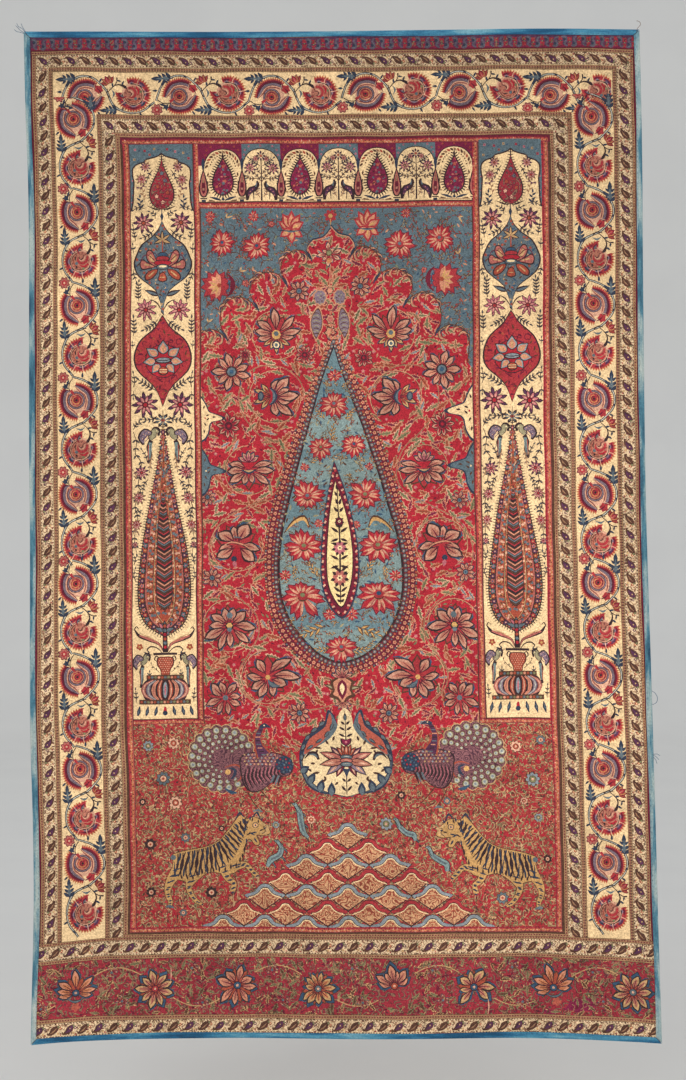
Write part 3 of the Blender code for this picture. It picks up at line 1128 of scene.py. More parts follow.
def cypress():
    """The tall tree on the pillar: comb edge, a band of florets, and an inner column of chevrons."""
    half = [
        (0, 668), (2.5, 690), (8, 718), (15, 752), (23, 792), (32, 838), (40, 884), (45, 926), (45, 958),
        (40, 984), (30, 1003), (15, 1014), (5, 1020), (0, 1022),
    ]
    edge = mirrored(half)
    motif = comb(np.concatenate([edge, edge[:1]]), 4.6, 4.6, "outline", 1.6, 1)
    motif += ink("outline", edge)

    def line(share):
        return mirrored([(x * share, mix(y, 880, (1 - share) * 0.24)) for x, y in half])

    def beads(share, pitch, pieces):
        return beads_along(line(share), pitch, pieces)

    motif += ink("umber", line(0.955))
    buds = []
    for dye, heart in (
        ("purple", "blush"), ("rust", "gold"), ("slate", "pink"), ("red", "tan"), ("brick", "navy")
    ):
        bud = ink("outline", petals(6, 5.4, 0.3, 2))
        bud += ink(dye, petals(5, 4.5, 0.35, 2))
        buds.append(bud + ink(heart, disc(1.5, steps=5)))
    dots = [
        ink("gold", disc(1.5, steps=4)), ink("slate", disc(1.6, steps=4)), ink("coral", disc(1.7, steps=4))
    ]
    motif += beads(0.935, 4.6, dots)
    motif += beads(0.835, 8.4, buds)
    motif += ink("outline", line(0.735))
    motif += ink("brick", line(0.715))
    motif += ink("rust", line(0.66))
    sprays = [
        ink("outline", petals(4, 3.8, 0.55, 2)) + ink("amber", petals(4, 2.6, 0.5, 2)),
        ink("umber", leaf(6, 2.6, 1, 3)), ink("slate", petals(5, 3.4, 0.4, 2)),
        ink("umber", leaf(6, 2.6, -1, 3)), ink("blush", petals(4, 3.0, 0.4, 2)),
    ]
    motif += beads(0.6, 4.4, sprays)
    motif += beads(0.5, 4.2, sprays[::-1])
    motif += ink("outline", line(0.42))
    motif += ink("tan", line(0.4))
    motif += ink("rust", line(0.37))
    motif += within(line(0.38), thicket((-20, 700, 20, 985), 5.4, sprays, np.random.default_rng(9)))
    for turn in (90, 56, 124, 22, 158):
        lotus = (
            ink("outline", leaf(19, 8, 0, 4))
            + ink("slate" if turn % 4 else "pink", leaf(16.6, 5.6, 0, 4))
        )
        motif += put(lotus, (0, 1013), turn)
    column = mirrored([(0, 770), (5, 800), (9, 830), (12.5, 880), (14, 930), (13.5, 955), (9, 970), (0, 979)])
    motif += ink("outline", column)
    chevrons = []
    for k, y in enumerate(np.arange(770, 982, 3.7)):
        dye = ("red", "outline", "salmon", "umber", "brick", "slate", "umber")[k % 7]
        chevrons += ink(dye, brush([(-15, y - 8), (0, y + 2), (15, y - 8)], 2.3, 1))
    motif += within(column * (0.9, 1), chevrons)
    motif += ink("rust", brush([(0, 672), (0, 720)], (0.6, 3)))
    return motif


def pillar_foot():
    """The leaves, urn, ribbed pot, birds and tassels that the tree stands on."""
    side = ink(
        "outline", brush([(3, 1048), (10, 1034), (26, 1026), (42, 1020), (50, 1009)], (1, 4.4, 7, 5.6, 1.6))
    )
    side += strokes(
        ("brick", [(4, 1046), (11, 1033), (26, 1025.4), (42, 1019)], (0.6, 2.6, 4.6, 2.6)),
        ("tan", [(12, 1030), (26, 1022), (40, 1016)], (0.6, 1.8, 1)),
        ("outline", [(50, 1009), (47, 1004), (43, 1008)], (2, 1.6, 0.8)),
        ("outline", [(5, 1049), (14, 1040), (24, 1038), (30, 1043), (26, 1048)], (1, 2, 2.4, 2, 1)),
    )
    side += put(floret(6, "rust", "gold", 5, 4), (42, 1038))
    side += ink("outline", brush([(8, 1060), (15, 1054), (18, 1060), (13, 1064)], (1, 2, 2, 0.8)))
    side += twig([(10, 1082), (17, 1076), (24, 1068)], 5, "outline", 2)
    side += put(parrot(), (36, 1066), 0, (0.72, 0.9)) + leafy([(28, 1090), (27, 1082)], 6, 1)
    side += leafy([(49, 1132), (49, 1122), (50, 1112)], 6, 2)
    side += leafy([(22, 1052), (30, 1049)], 7, 1)
    motif = both(side)
    motif += ink("outline", brush([(0, 1000), (0, 1048)], (7, 9)))
    for k, y in enumerate(np.arange(1004, 1046, 7.0)):
        motif += ink(("rust", "slate", "crimson")[k % 3], disc(2.9, (0, y), 7))
    motif += ink("outline", rectangle(-20, 1048.5, 20, 1052.5))
    bowl = mirrored([(0, 1055), (12, 1056), (15, 1062), (14, 1070), (9, 1078), (7, 1087), (0, 1088)])
    motif += ink("outline", bowl) + ink("rust", sized(bowl, (0, 1071), (0.88, 0.93)))
    net = []
    for y in range(9):
        for x in range(-14, 15, 4):
            net += ink("blush", disc(1.0, (x + (y % 2) * 2, 1055 + 3.4 * y), 4))
    motif += within(sized(bowl, (0, 1071), (0.8, 0.86)), net)
    body = mirrored([(0, 1092), (28, 1093), (38, 1101), (40, 1111), (37, 1122), (30, 1129), (0, 1130)])
    motif += ink("outline", body)
    for k, reach in enumerate((37.5, 29.5, 20.5, 10.5)):
        dye, streak = (("brick", "blush"), ("mauve", "ash"), ("salmon", "brick"), ("rust", "blush"))[k]
        for side in (-1, 1):
            rib = curve(
                [(side * reach * 0.55, 1095), (side * reach * 0.9, 1102), (side * reach, 1111)], fine=3
            )
            rib = np.concatenate([rib, (rib * (1, -1) + (0, 2222))[-2::-1]])
            motif += ink("outline", brush(rib, (3.6, 8.2, 3.6), 1))
            motif += ink(dye, brush(rib, (2.8, 7.0, 2.8), 1))
            motif += ink(streak, brush(rib, (0.6, 1.8, 0.6), 1))
    motif += ink("outline", disc((5.6, 16), (0, 1111), 10))
    motif += ink("grey", disc((4, 14), (0, 1111), 9))
    motif += ink("pink", disc((1.5, 10), (0, 1111), 6))
    for low, wide in ((1086, 32), (1127, 44)):
        motif += ink("umber", brush([(-wide, low + 4), (wide, low + 4)], 8))
        for k, x in enumerate(np.arange(-wide + 4, wide - 2, 5.6)):
            motif += ink(("rust", "slate", "olive", "salmon")[k % 4], disc(2.4, (x, low + 4), 6))
    for x in (14, 29, 43):
        motif += both(ink("indigo", brush([(x, 1138), (x + 1.6, 1147), (x + 4.4, 1157)], (1.6, 6.4, 1))))
        motif += both(ink("slate", brush([(x + 1, 1142), (x + 2.6, 1150)], (0.6, 2.4))))
    motif += ink("crimson", brush([(0, 1139), (0, 1150)], (3, 8))) + ink("indigo", disc(4.4, (0, 1150), 8))
    return motif


def pillars():
    """Both pillars, from their blue heads to the tassels under their pots."""
    one = ink("cream", rectangle(-PILLAR_HALF, 190, PILLAR_HALF, 1159))
    one += pillar_top() + pillar_garden() + pillar_medallions() + cypress() + pillar_foot()
    motif = []
    for k, middle in enumerate(PILLAR_MIDDLES):
        left, right = middle - PILLAR_HALF, middle + PILLAR_HALF
        motif += put(one, (middle, -4.0 * k), 0, (1, 1 - 0.001 * k))
        motif += ink("cream", rectangle(left, 1154, right, 1160))
        inner = (right, right + 1.6) if k == 0 else (left - 1.6, left)
        motif += ink("umber", rectangle(inner[0], 190, inner[1], 1168))
        coral = (right + 1.6, right + 10.6) if k == 0 else (left - 12, left - 1.6)
        motif += coral_stripe(*coral, 190, 1169, True)
        motif += coral_stripe(1161, 1169, min(left, coral[0]), max(right, coral[1]), False)
        outer = (coral[1], coral[1] + 1.6) if k == 0 else (coral[0] - 1.6, coral[0])
        motif += ink("umber", rectangle(outer[0], 190, outer[1], 1169))
        motif += ink("umber", rectangle(left, 1159.4, right, 1161))
    return motif


ARCADE = (292.0, 190.0, 760.0, 288.0)
ARCH_PITCH = 66.2
FIRST_DROP = 333.0


def arcade():
    """The row of small arches over the field: red drops and flowering trees by turns."""
    left, top, right, bottom = ARCADE
    motif = ink("cream", rectangle(left, top, right, bottom))
    half = ARCH_PITCH / 2
    motif += ink("wine", rectangle(left, top, FIRST_DROP - half, 226))
    motif += ink("teal", rectangle(FIRST_DROP + 6.5 * ARCH_PITCH - 2, top, right, 226))
    opening = [
        (-half, 226), (-30, 219), (-25, 209), (-15, 201), (0, 198), (15, 201), (25, 209), (30, 219),
        (half, 226),
    ]
    for k in range(7):
        at = FIRST_DROP + ARCH_PITCH * k - 0.2 * k
        lift = -0.8 * (k > 1) - 0.8 * (k > 3)
        head = ink("teal" if k % 2 else "wine", np.concatenate([curve(opening), [(half, 188), (-half, 188)]]))
        for x, y in ((-27, 200), (-20, 194), (20, 194), (27, 200), (-29, 208), (29, 208), (0, 193)):
            head += put(
                floret(2.2, "pink" if k % 2 else "rust", "navy" if k % 2 else "maroon", 4, 2), (x, y), x
            )
        head += ink("outline", brush(opening, 1.6))
        body = tree_niche() if k % 2 else drop_niche()
        motif += put(head + body, (at, lift))
    column = ink("indigo", brush([(0, 214), (0, 222), (0, 234)], (3, 6.4, 2.4)))
    column += ink(
        "outline", mirrored([(0, 230), (2, 236), (5.4, 248), (7.8, 260), (7.4, 271), (4, 278), (0, 279)])
    )
    column += ink("brick", mirrored([(0, 236), (3.4, 249), (5.4, 260), (5.0, 270), (2.6, 276), (0, 277)]))
    column += ink("maroon", mirrored([(0, 240), (1.6, 250), (3.2, 260), (2.8, 269), (0, 273)]))
    column += ink("brown", brush([(0, 242), (0, 254)], (1, 3.2)))
    column += put(floret(3, "brown", "pink", 4, 2), (0, 265))
    column += ink("outline", rectangle(-6, 280, 6, 282)) + ink("indigo", rectangle(-3.6, 283, 3.6, 287))
    for k in range(8):
        motif += put(column, (FIRST_DROP - half + ARCH_PITCH * k - 0.2 * k, 0))
    motif = within(rectangle(left, top, right, bottom), motif)
    motif += ink("umber", rectangle(left, bottom - 1.5, right, bottom + 0.5))
    return motif + coral_stripe(bottom + 0.5, 297.0, left, right, False)


def drop_niche():
    """A red drop on a low saucer of two leaves, inside one small arch."""
    motif = []
    for k, turn in enumerate(range(8, 176, 12)):
        at = arc((26, 27), turn, turn, (0, 232), 1)[0]
        motif += put(ink(("brown", "umber", "rust")[k % 3], leaf(8, 4)), at, turn + 60)
        motif += ink("umber", disc(1.4, arc((21.5, 22), turn, turn, (0, 230), 1)[0], 5))
    for x, y in ((26, 244), (27, 258), (26, 271)):
        pair = ink("umber", leaf(8, 3)) + put(ink("brown", leaf(6, 2.6)), (0, 0), 80)
        motif += both(put(pair, (x, y), 100))
    drop = mirrored([(0, 211), (4, 218), (9, 226), (15, 238), (18.6, 251), (17.4, 263), (11, 272), (0, 277)])
    motif += comb(np.concatenate([drop, drop[:1]]), 5.6, 4.0, "outline", 2.3, 1)
    inner = (drop - (0, 247)) * (0.88, 0.92) + (0, 247.6)
    motif += ink("outline", drop)
    motif += ink("wine", inner)
    curls = [
        ink("maroon", brush([(0, 0), (4, -3), (8, 1), (5, 4)], 1.4, 2)),
        ink("coral", petals(5, 3.4, 0.4, 2)), ink("outline", leaf(6, 2.2, 1, 2)),
        ink("slate", petals(4, 3.2, 0.4, 2)), ink("brick", leaf(6, 3, 1, 2)),
    ]
    motif += within(inner, thicket((-18, 214, 18, 276), 5.6, curls, np.random.default_rng(12)))
    motif += ink("outline", brush([(0, 203), (0, 213)], (1, 4)))
    foot = ink("indigo", brush([(3, 284), (12, 281), (23, 278)], (1.6, 4.6, 1)))
    foot += ink("umber", brush([(14, 285), (24, 284)], (1, 2.4)))
    motif += both(foot)
    return motif + ink("indigo", disc(2.8, (0, 282), 6)) + ink("brown", rectangle(-27, 285.4, 27, 286.6))


def tree_niche():
    """A flowering tree between two dark birds, inside one small arch."""
    motif = ink("outline", brush([(0, 286), (0, 262), (0, 232), (0, 216)], (3, 2.2, 2.0, 1.2)))
    side = put(bouquet(10, "purple", "brown"), (19, 230)) + put(bouquet(6, "brown", "rust"), (9, 215))
    for stem in (
        ([(0, 254), (8, 242), (16, 236)], 6, 3, "umber"),
        ([(2, 226), (10, 222), (20, 214)], 6, 4),
        ([(8, 247), (18, 248), (26, 244)], 6, 3, "umber"),
        ([(28, 264), (29, 252), (28, 240)], 6, 4),
        ([(0, 240), (5, 236), (8, 228)], 5, 2, "umber"),
        ([(3, 280), (8, 272), (6, 262)], 6, 3, "brown"),
    ):
        side += leafy(*stem)
    side += strokes(
        ("outline", [(8, 252), (6, 258), (12, 265), (19, 268)], (3, 5, 10, 11)),
        ("outline", [(17, 266), (23, 274), (24, 285)], (11, 9, 4)),
        ("purple", [(11, 264), (18, 268), (22, 278)], (3, 6, 3)),
        ("outline", [(14, 270), (13, 284)], (2.2, 1.2)),
        ("slate", [(8, 255), (10, 262)], (1.4, 2.4)),
    )
    for x, y in ((15, 266), (19, 270), (21, 276)):
        side += ink("salmon", disc(1.0, (x, y), 4))
    motif += both(side)
    motif += put(daisy(8, 9, "outline", "brown", 0.4, 0.3), (0, 210))
    motif += put(daisy(8, 7, "purple", "rust", 0.3, 0.3), (0, 210))
    return motif


# The field under the arcade


FIELD = (293.0, 298.0, 762.0, 1215.0)
SEED_LEAVES = 21


def peony(radius, seed, drop=0.0):
    """A ragged crimson flower with flame-like salmon petals; drop lengthens the lower ones."""
    chance = np.random.default_rng(int(seed))
    count = 15 if radius > 16 else 9
    turns = 360 * np.arange(count) / count + chance.uniform(-9, 9, count)
    reach = radius * chance.uniform(0.86, 1.1, count) * (1 - drop * np.sin(np.radians(turns)))
    motif = []
    for dye, share, wide in (("maroon", 1.06, 0.46), ("red", 0.97, 0.4), ("crimson", 0.9, 0.32)):
        for turn, length in zip(turns, reach):
            if dye != "crimson" or chance.uniform() < 0.7:
                motif += put(ink(dye, leaf(length * share, radius * wide, 0, 3, 1.5)), (0, 0), turn)
    for k, (turn, length) in enumerate(zip(turns + 360 / count / 2, reach)):
        motif += put(
            ink(
                "brick" if k % 3 == 1 else "salmon",
                leaf(length * 0.86, radius * 0.15, radius * 0.08, 3, 1.2),
            ),
            (0, 0), turn,
        )
        motif += put(
            ink("blush", leaf(length * 0.44, radius * 0.07, radius * 0.03, 2)),
            (length * 0.3, 0) @ rotation(turn), turn,
        )
    motif += ink("red", petals(7, radius * 0.32, 0.3, 2))
    motif += ink("umber", brush(arc(radius * 0.26, 200, 340), (0.6, radius * 0.1, 0.6)))
    return motif + ink(("navy", "slate", "olive")[int(seed) % 3], disc(radius * 0.13, (0, -radius * 0.06), 6))


def spray(length, fill="gold", count=7):
    """A feathery twig of outlined leaves along +x."""
    motif = ink("umber", brush([(0, 0), (length * 0.5, -1), (length, 1)], (1.6, 1.0), 2))
    for k in range(count):
        at, reach = length * (0.1 + 0.86 * k / (count - 1)), length * (0.42 - 0.16 * k / count)
        turn = 0 if k == count - 1 else (38 if k % 2 else -38)
        motif += put(ink("umber", leaf(reach, reach * 0.36, 0, 3)), (at, 0), turn)
        motif += put(ink(fill, leaf(reach * 0.84, reach * 0.2, 0, 3)), (at, 0), turn)
    return motif


def half_lotus(radius):
    """A flower seen from its side: petals above and below a dark boat line."""
    motif = []
    for turn, size in (
        (150, 0.8), (120, 0.95), (88, 1.0), (58, 0.95), (30, 0.8), (-35, 0.75), (-88, 0.8), (-145, 0.75)
    ):
        petal = ink("red", leaf(radius * size, radius * 0.5, 0, 4))
        petal += put(ink("salmon", leaf(radius * size * 0.74, radius * 0.3, 0, 4)), (radius * 0.08, 0))
        petal += put(ink("gold", leaf(radius * size * 0.5, radius * 0.12, 0, 3)), (radius * 0.1, 0))
        motif += put(petal, (0, 0), turn)
    motif += ink("indigo", brush([(-radius * 0.8, 2), (0, 3.4), (radius * 0.8, 2)], (0.8, 2.4, 0.8)))
    return motif + ink("slate", brush([(-radius * 0.4, 3), (0, 5), (radius * 0.4, 3)], (0.8, 2.2, 0.8)))


def profile(radius):
    """A pointed full flower in profile, facing right from its calyx at the left."""
    motif = ink("maroon", petals(11, radius * 0.98, 0.3, 2)) + ink("red", petals(11, radius * 0.9, 0.3, 2))
    for turn in (-70, -42, -16, 12, 40, 68):
        motif += put(ink("salmon", leaf(radius * 0.8, radius * 0.3, 0, 3, 1.2)), (-radius * 0.3, 0), turn)
        motif += put(ink("gold", leaf(radius * 0.6, radius * 0.12, 0, 3, 1.2)), (-radius * 0.2, 0), turn)
    motif += ink("maroon", brush(arc(radius * 0.8, 120, 240, (-radius * 0.2, 0)), (1, radius * 0.3, 1)))
    motif += ink("navy", brush(arc(radius * 0.66, 130, 230, (-radius * 0.14, 0)), (0.6, 2.4, 0.6)))
    return motif + ink("rust", disc(radius * 0.14, (-radius * 0.2, 0), 6))


def frond(length, fill="sage", edge="husk"):
    """A field leaf with lobed sides and a pale edge, from its stem at (0, 0) along +x, bent a little."""
    upper = [
        (0, 0.01), (0.1, 0.1), (0.2, 0.06), (0.3, 0.21), (0.42, 0.1), (0.55, 0.24), (0.66, 0.1),
        (0.82, 0.13), (1, 0),
    ]
    upper = np.array(upper)
    outline = np.concatenate([upper, upper[-2::-1] * (1, -0.9)])
    inner = (outline - (0.5, 0)) * (0.84, 0.6) + (0.48, 0)
    motif = []
    for dye, edge_points in ((edge, outline), (fill, inner)):
        bent = edge_points + np.stack([0 * edge_points[:, 0], 0.16 * edge_points[:, 0] ** 2], axis=1)
        motif += ink(dye, bent * length)
    return motif + ink("umber", brush([(0.1 * length, 0), (0.85 * length, 0.12 * length)], (0.8, 0.5), 1))


def vine(points, width=1.2, dye="husk"):
    """A thin stem through the points, a little thinner at its end."""
    return ink(dye, brush(points, (width, width * 0.8), 4))


def thicket(box, pitch, kinds, chance):
    """Small motifs strewn evenly over a box, each a little off its place and turned its own way."""
    left, top, right, bottom = box
    motif = []
    for row, y in enumerate(np.arange(top + pitch / 2, bottom, pitch)):
        for x in np.arange(left + pitch / 2 * (row % 2), right, pitch):
            kind = kinds[int(chance.integers(len(kinds)))]
            at = (x + pitch * chance.uniform(-0.35, 0.35), y + pitch * chance.uniform(-0.35, 0.35))
            motif += put(kind, at, chance.uniform(0, 360), chance.uniform(0.8, 1.15))
    return motif


# Petals of the field's flowers, each as (turn, length, width, bend) in shares of the flower's radius
CROWN = (
    (198, 0.8, 0.26, 0.1), (-18, 0.8, 0.26, -0.1), (170, 1.0, 0.3, 0.1), (10, 1.0, 0.3, -0.1),
    (140, 1.05, 0.3, 0), (42, 1.05, 0.3, 0), (91, 1.12, 0.32, 0),
)
SIDE = (
    (78, 0.8, 0.34, 0.1), (-78, 0.8, 0.34, -0.1), (52, 1.0, 0.36, 0.1), (-52, 1.0, 0.36, -0.1),
    (22, 0.8, 0.3, 0), (-22, 0.8, 0.3, 0), (0, 1.15, 0.38, 0),
)
STACK = (
    (150, 0.95, 0.28, -0.24), (30, 0.95, 0.28, 0.24), (182, 1.0, 0.3, -0.1), (-2, 1.0, 0.3, 0.1),
    (213, 1.02, 0.3, 0), (-33, 1.02, 0.3, 0), (246, 0.6, 0.24, 0), (-66, 0.6, 0.24, 0),
)
TULIP = (
    (196, 0.7, 0.3, 0.1), (-4, 0.95, 0.32, 0.1), (100, 0.8, 0.3, 0), (62, 0.9, 0.46, 0.1),
    (136, 0.9, 0.4, -0.1), (222, 1.0, 0.36, 0.12), (-44, 0.98, 0.38, 0.1),
)
STAR = (
    (4, 1.0, 0.34, 0.1), (40, 0.85, 0.34, 0), (78, 0.8, 0.28, 0), (110, 0.8, 0.26, 0), (142, 0.85, 0.3, 0),
    (172, 0.75, 0.28, 0), (206, 1.05, 0.34, -0.1), (240, 1.0, 0.3, 0), (272, 0.85, 0.3, 0),
    (-42, 1.0, 0.32, 0),
)
CRESCENT = (
    (186, 0.85, 0.28, 0.1), (222, 0.85, 0.3, 0), (252, 0.85, 0.34, 0), (-62, 0.8, 0.34, 0.1),
    (-26, 0.85, 0.38, 0), (14, 1.15, 0.36, 0.22), (58, 1.05, 0.34, 0.3), (122, 0.85, 0.32, 0.1),
)
RUFFLED = (
    (14, 0.8, 0.34, 0.2), (60, 0.95, 0.3, 0.1), (104, 0.9, 0.34, 0), (150, 1.0, 0.4, 0.24),
    (196, 1.05, 0.36, -0.2), (238, 1.0, 0.3, 0), (286, 0.9, 0.3, 0), (-30, 0.9, 0.28, 0),
)
DAISY = tuple((20 + 40 * k, 1.0, 0.34, 0.05 * (k % 2)) for k in range(9))


def lotus_petal(length, width, bend, fill, edge="rose"):
    """A plump petal from (0, 0) along +x: dark rim, lighter edge, streaks, a dark curl at its tip."""
    motif = ink("outline", leaf(length, width, bend, 5, 1.3))
    motif += put(ink(edge, leaf(length * 0.87, width * 0.68, bend * 0.9, 5, 1.3)), (length * 0.05, 0))
    motif += put(ink(fill, leaf(length * 0.7, width * 0.4, bend * 0.7, 4, 1.1)), (length * 0.05, 0))
    motif += ink("maroon", brush([(length * 0.06, 0), (length * 0.66, bend * 0.4)], (width * 0.14, 0.6), 1))
    for side in (-0.2, 0.2):
        motif += ink(
            "maroon",
            brush([(length * 0.2, side * width), (length * 0.5, bend * 0.3 + side * width)], (0.7, 0.4), 1),
        )
    curl = [
        (length * 0.62, bend * 0.4 - width * 0.46), (length * 0.9, bend * 0.8 - width * 0.3),
        (length * 1.04, bend),
    ]
    return motif + ink("navy", brush(curl, (0.5, width * 0.14, 0.5), 1))


def bloom(radius, rows, fill="clay", edge="rose"):
    """A flower made of petals of its own lengths and turns, on a ragged ring of darker ones."""
    motif = []
    turns = sorted(turn % 360 for turn, _, _, _ in rows)
    for before, after in zip(turns, turns[1:] + [turns[0] + 360]):
        if after - before < 75:
            behind = ink("umber", leaf(radius * 0.86, radius * 0.42, 0, 3, 1.4))
            behind += ink("red", leaf(radius * 0.78, radius * 0.32, 0, 3, 1.4))
            motif += put(behind, (0, 0), (before + after) / 2)
    for turn, length, width, bend in rows:
        length *= 1 + 0.08 * math.sin(3.7 * turn + radius)
        width *= 1 + 0.12 * math.sin(5.1 * turn + radius)
        bend += 0.1 * math.sin(2.3 * turn + radius)
        petal = lotus_petal(radius * (length - 0.14), radius * width * 1.3, radius * bend, fill, edge)
        motif += put(petal, arc(radius * 0.14, turn, turn, steps=1)[0], turn)
    return motif


def crown_flower(radius):
    """A crown of upright petals over five hanging ones, with a blue eye below its gold heart."""
    low = []
    for turn, length in ((-32, 0.66), (212, 0.66), (-62, 0.56), (242, 0.56), (-90, 0.7)):
        low += put(lotus_petal(radius * length, radius * 0.24, 0, "rust", "tan"), (0, radius * 0.1), turn)
    motif = low + bloom(radius, CROWN) + ink("indigo", disc(radius * 0.19, (0, radius * 0.42), 8))
    motif += ink("pale", disc(radius * 0.13, (0, radius * 0.42), 7))
    motif += ink("slate", disc(radius * 0.08, (0, radius * 0.42), 6))
    return (
        motif
        + ink("gold", disc(radius * 0.2, (0, 0), 7))
        + ink("slate", disc(radius * 0.11, (0, -radius * 0.04), 6))
    )


def side_flower(radius):
    """A flower seen from the side, open towards +x, with four petals turned back."""
    motif = []
    for turn, length in ((128, 0.62), (232, 0.62), (158, 0.74), (202, 0.74)):
        motif += put(lotus_petal(radius * length, radius * 0.24, 0, "rust", "tan"), (-radius * 0.16, 0), turn)
    motif += put(bloom(radius, SIDE), (-radius * 0.1, 0))
    motif += ink("indigo", brush(arc(radius * 0.36, -70, 70, (-radius * 0.36, 0)), (1.2, radius * 0.2, 1.2)))
    motif += ink("slate", brush(arc(radius * 0.33, -60, 60, (-radius * 0.36, 0)), (0.6, radius * 0.1, 0.6)))
    motif += ink("indigo", disc((radius * 0.13, radius * 0.2), (-radius * 0.56, 0), 8))
    return motif + ink("slate", disc((radius * 0.08, radius * 0.14), (-radius * 0.56, 0), 7))


def stack_flower(radius):
    """A flower of two tiers: a fan of five petals over the lower bloom."""
    motif = bloom(radius, STACK)
    top = [
        put(lotus_petal(radius * 0.5, radius * 0.24, 0, "pink", "rose"), (0, -radius * 0.3), turn)
        for turn in (150, 30, 120, 60, 90)
    ]
    motif += redyed(sum(top, []), pale="crimson", rust="blush")
    motif += ink(
        "indigo", brush([(-radius * 0.3, 0), (0, radius * 0.08), (radius * 0.3, 0)], (1, radius * 0.2, 1))
    )
    return (
        motif
        + ink(
            "tan",
            brush([(-radius * 0.2, 0), (0, radius * 0.05), (radius * 0.2, 0)], (0.6, radius * 0.08, 0.6)),
        )
    )


def tulip_flower(radius):
    """A cup of petals with a wavy lip and a small bud below it."""
    motif = bloom(radius, TULIP)
    line = [
        (-radius * 0.56, radius * 0.04), (-radius * 0.2, -radius * 0.1), (radius * 0.3, radius * 0.02),
        (radius * 0.56, radius * 0.24),
    ]
    motif += ink("outline", brush(line, (0.8, 4.0, 3.6, 0.8)))
    motif += ink("salmon", brush(line, (0.4, 2.4, 2.2, 0.4)))
    motif += ink(
        "slate", brush([(-radius * 0.1, -radius * 0.3), (radius * 0.2, -radius * 0.26)], (2.4, 1.2), 1)
    )
    motif += ink("indigo", disc(radius * 0.12, (-radius * 0.12, radius * 0.54), 7))
    return (
        motif
        + ink(
            "pink", leaf(radius * 0.3, radius * 0.18, 0, 3) @ rotation(-80) + (-radius * 0.12, radius * 0.6)
        )
    )


def star_flower(radius):
    """A ten-petalled flower with a gold heart and two blue dots."""
    motif = bloom(radius, STAR) + ink("outline", disc(radius * 0.17, (0, 0), 8))
    motif += ink("gold", disc(radius * 0.12, (0, -1), 6))
    motif += ink("slate", disc(radius * 0.1, (0, radius * 0.14), 6))
    return motif + ink("slate", disc(radius * 0.13, (radius * 0.02, -radius * 0.42), 6))


def crescent_flower(radius):
    """A flower with a blue crescent beside its gold heart."""
    motif = bloom(radius, CRESCENT)
    line = arc(radius * 0.34, 190, 290, (radius * 0.34, 0))
    motif += ink("indigo", brush(line, (1, radius * 0.24, 1)))
    motif += ink("slate", brush(line, (0.6, radius * 0.14, 0.6)))
    return motif + ink("gold", disc(radius * 0.1, (0, 0), 6))


def daisy_flower(radius, fill="salmon"):
    """A nine-petalled flower with a blue heart."""
    motif = bloom(radius, DAISY, fill) + ink("outline", disc(radius * 0.3, steps=9))
    return motif + ink("slate", disc(radius * 0.23, steps=8)) + ink("navy", disc(radius * 0.12, steps=6))


FIELD_KINDS = {
    "crown": crown_flower, "side": side_flower, "stack": stack_flower, "tulip": tulip_flower,
    "star": star_flower, "crescent": crescent_flower,
    "ruffled": lambda radius: bloom(radius, RUFFLED) + ink("slate", disc(radius * 0.14, steps=7)),
    "daisy": daisy_flower,
    "red daisy": lambda radius: redyed(
        daisy_flower(radius, "crimson"), pale="pink", slate="maroon", navy="crimson"
    ),
}

# Flowers of the crimson field: middle, radius, kind, and whether it is turned about left to right
FIELD_FLOWERS = (
    (423, 512, 34, "crown", False),
    (345, 573, 27, "daisy", False),
    (420, 616, 36, "side", False),
    (340, 665, 18, "red daisy", False),
    (374, 740, 34, "stack", False),
    (352, 866, 36, "tulip", False),
    (338, 1003, 36, "star", False),
    (402, 1090, 37, "crescent", False),
    (330, 1124, 29, "ruffled", False),
    (455, 1150, 15, "daisy", False),
    (462, 437, 15, "daisy", False),
    (470, 545, 14, "red daisy", False),
    (310, 922, 14, "daisy", False),
    (303, 785, 12, "daisy", False),
    (368, 545, 9, "red daisy", False),
    (618, 510, 34, "crown", True),
    (704, 572, 27, "daisy", True),
    (626, 617, 36, "side", True),
    (705, 664, 18, "red daisy", True),
    (672, 740, 34, "stack", True),
    (700, 866, 36, "tulip", True),
    (719, 1003, 36, "star", True),
    (655, 1090, 37, "crescent", True),
    (726, 1126, 29, "ruffled", True),
    (606, 1150, 15, "daisy", True),
    (567, 430, 15, "daisy", True),
    (571, 552, 14, "red daisy", True),
    (740, 914, 14, "daisy", True),
    (733, 792, 12, "daisy", True),
)

# The main vine of the field's left half, from the boteh's foot up; the right one is its mirror image
FIELD_VINE = (
    (527, 1130), (490, 1142), (440, 1146), (390, 1138), (358, 1112), (352, 1080), (372, 1048), (388, 1018),
    (384, 985), (360, 960), (326, 936), (306, 896), (308, 856), (330, 824), (372, 802), (414, 782),
    (432, 750), (420, 706), (388, 676), (362, 640), (360, 600), (384, 568), (430, 566), (462, 590),
    (470, 620),
)
FIELD_AXIS = 528.5


def mirror(motif, axis):
    """The motif's mirror image across an upright line."""
    return about(motif, (axis, 0), 0, (-1, 1))


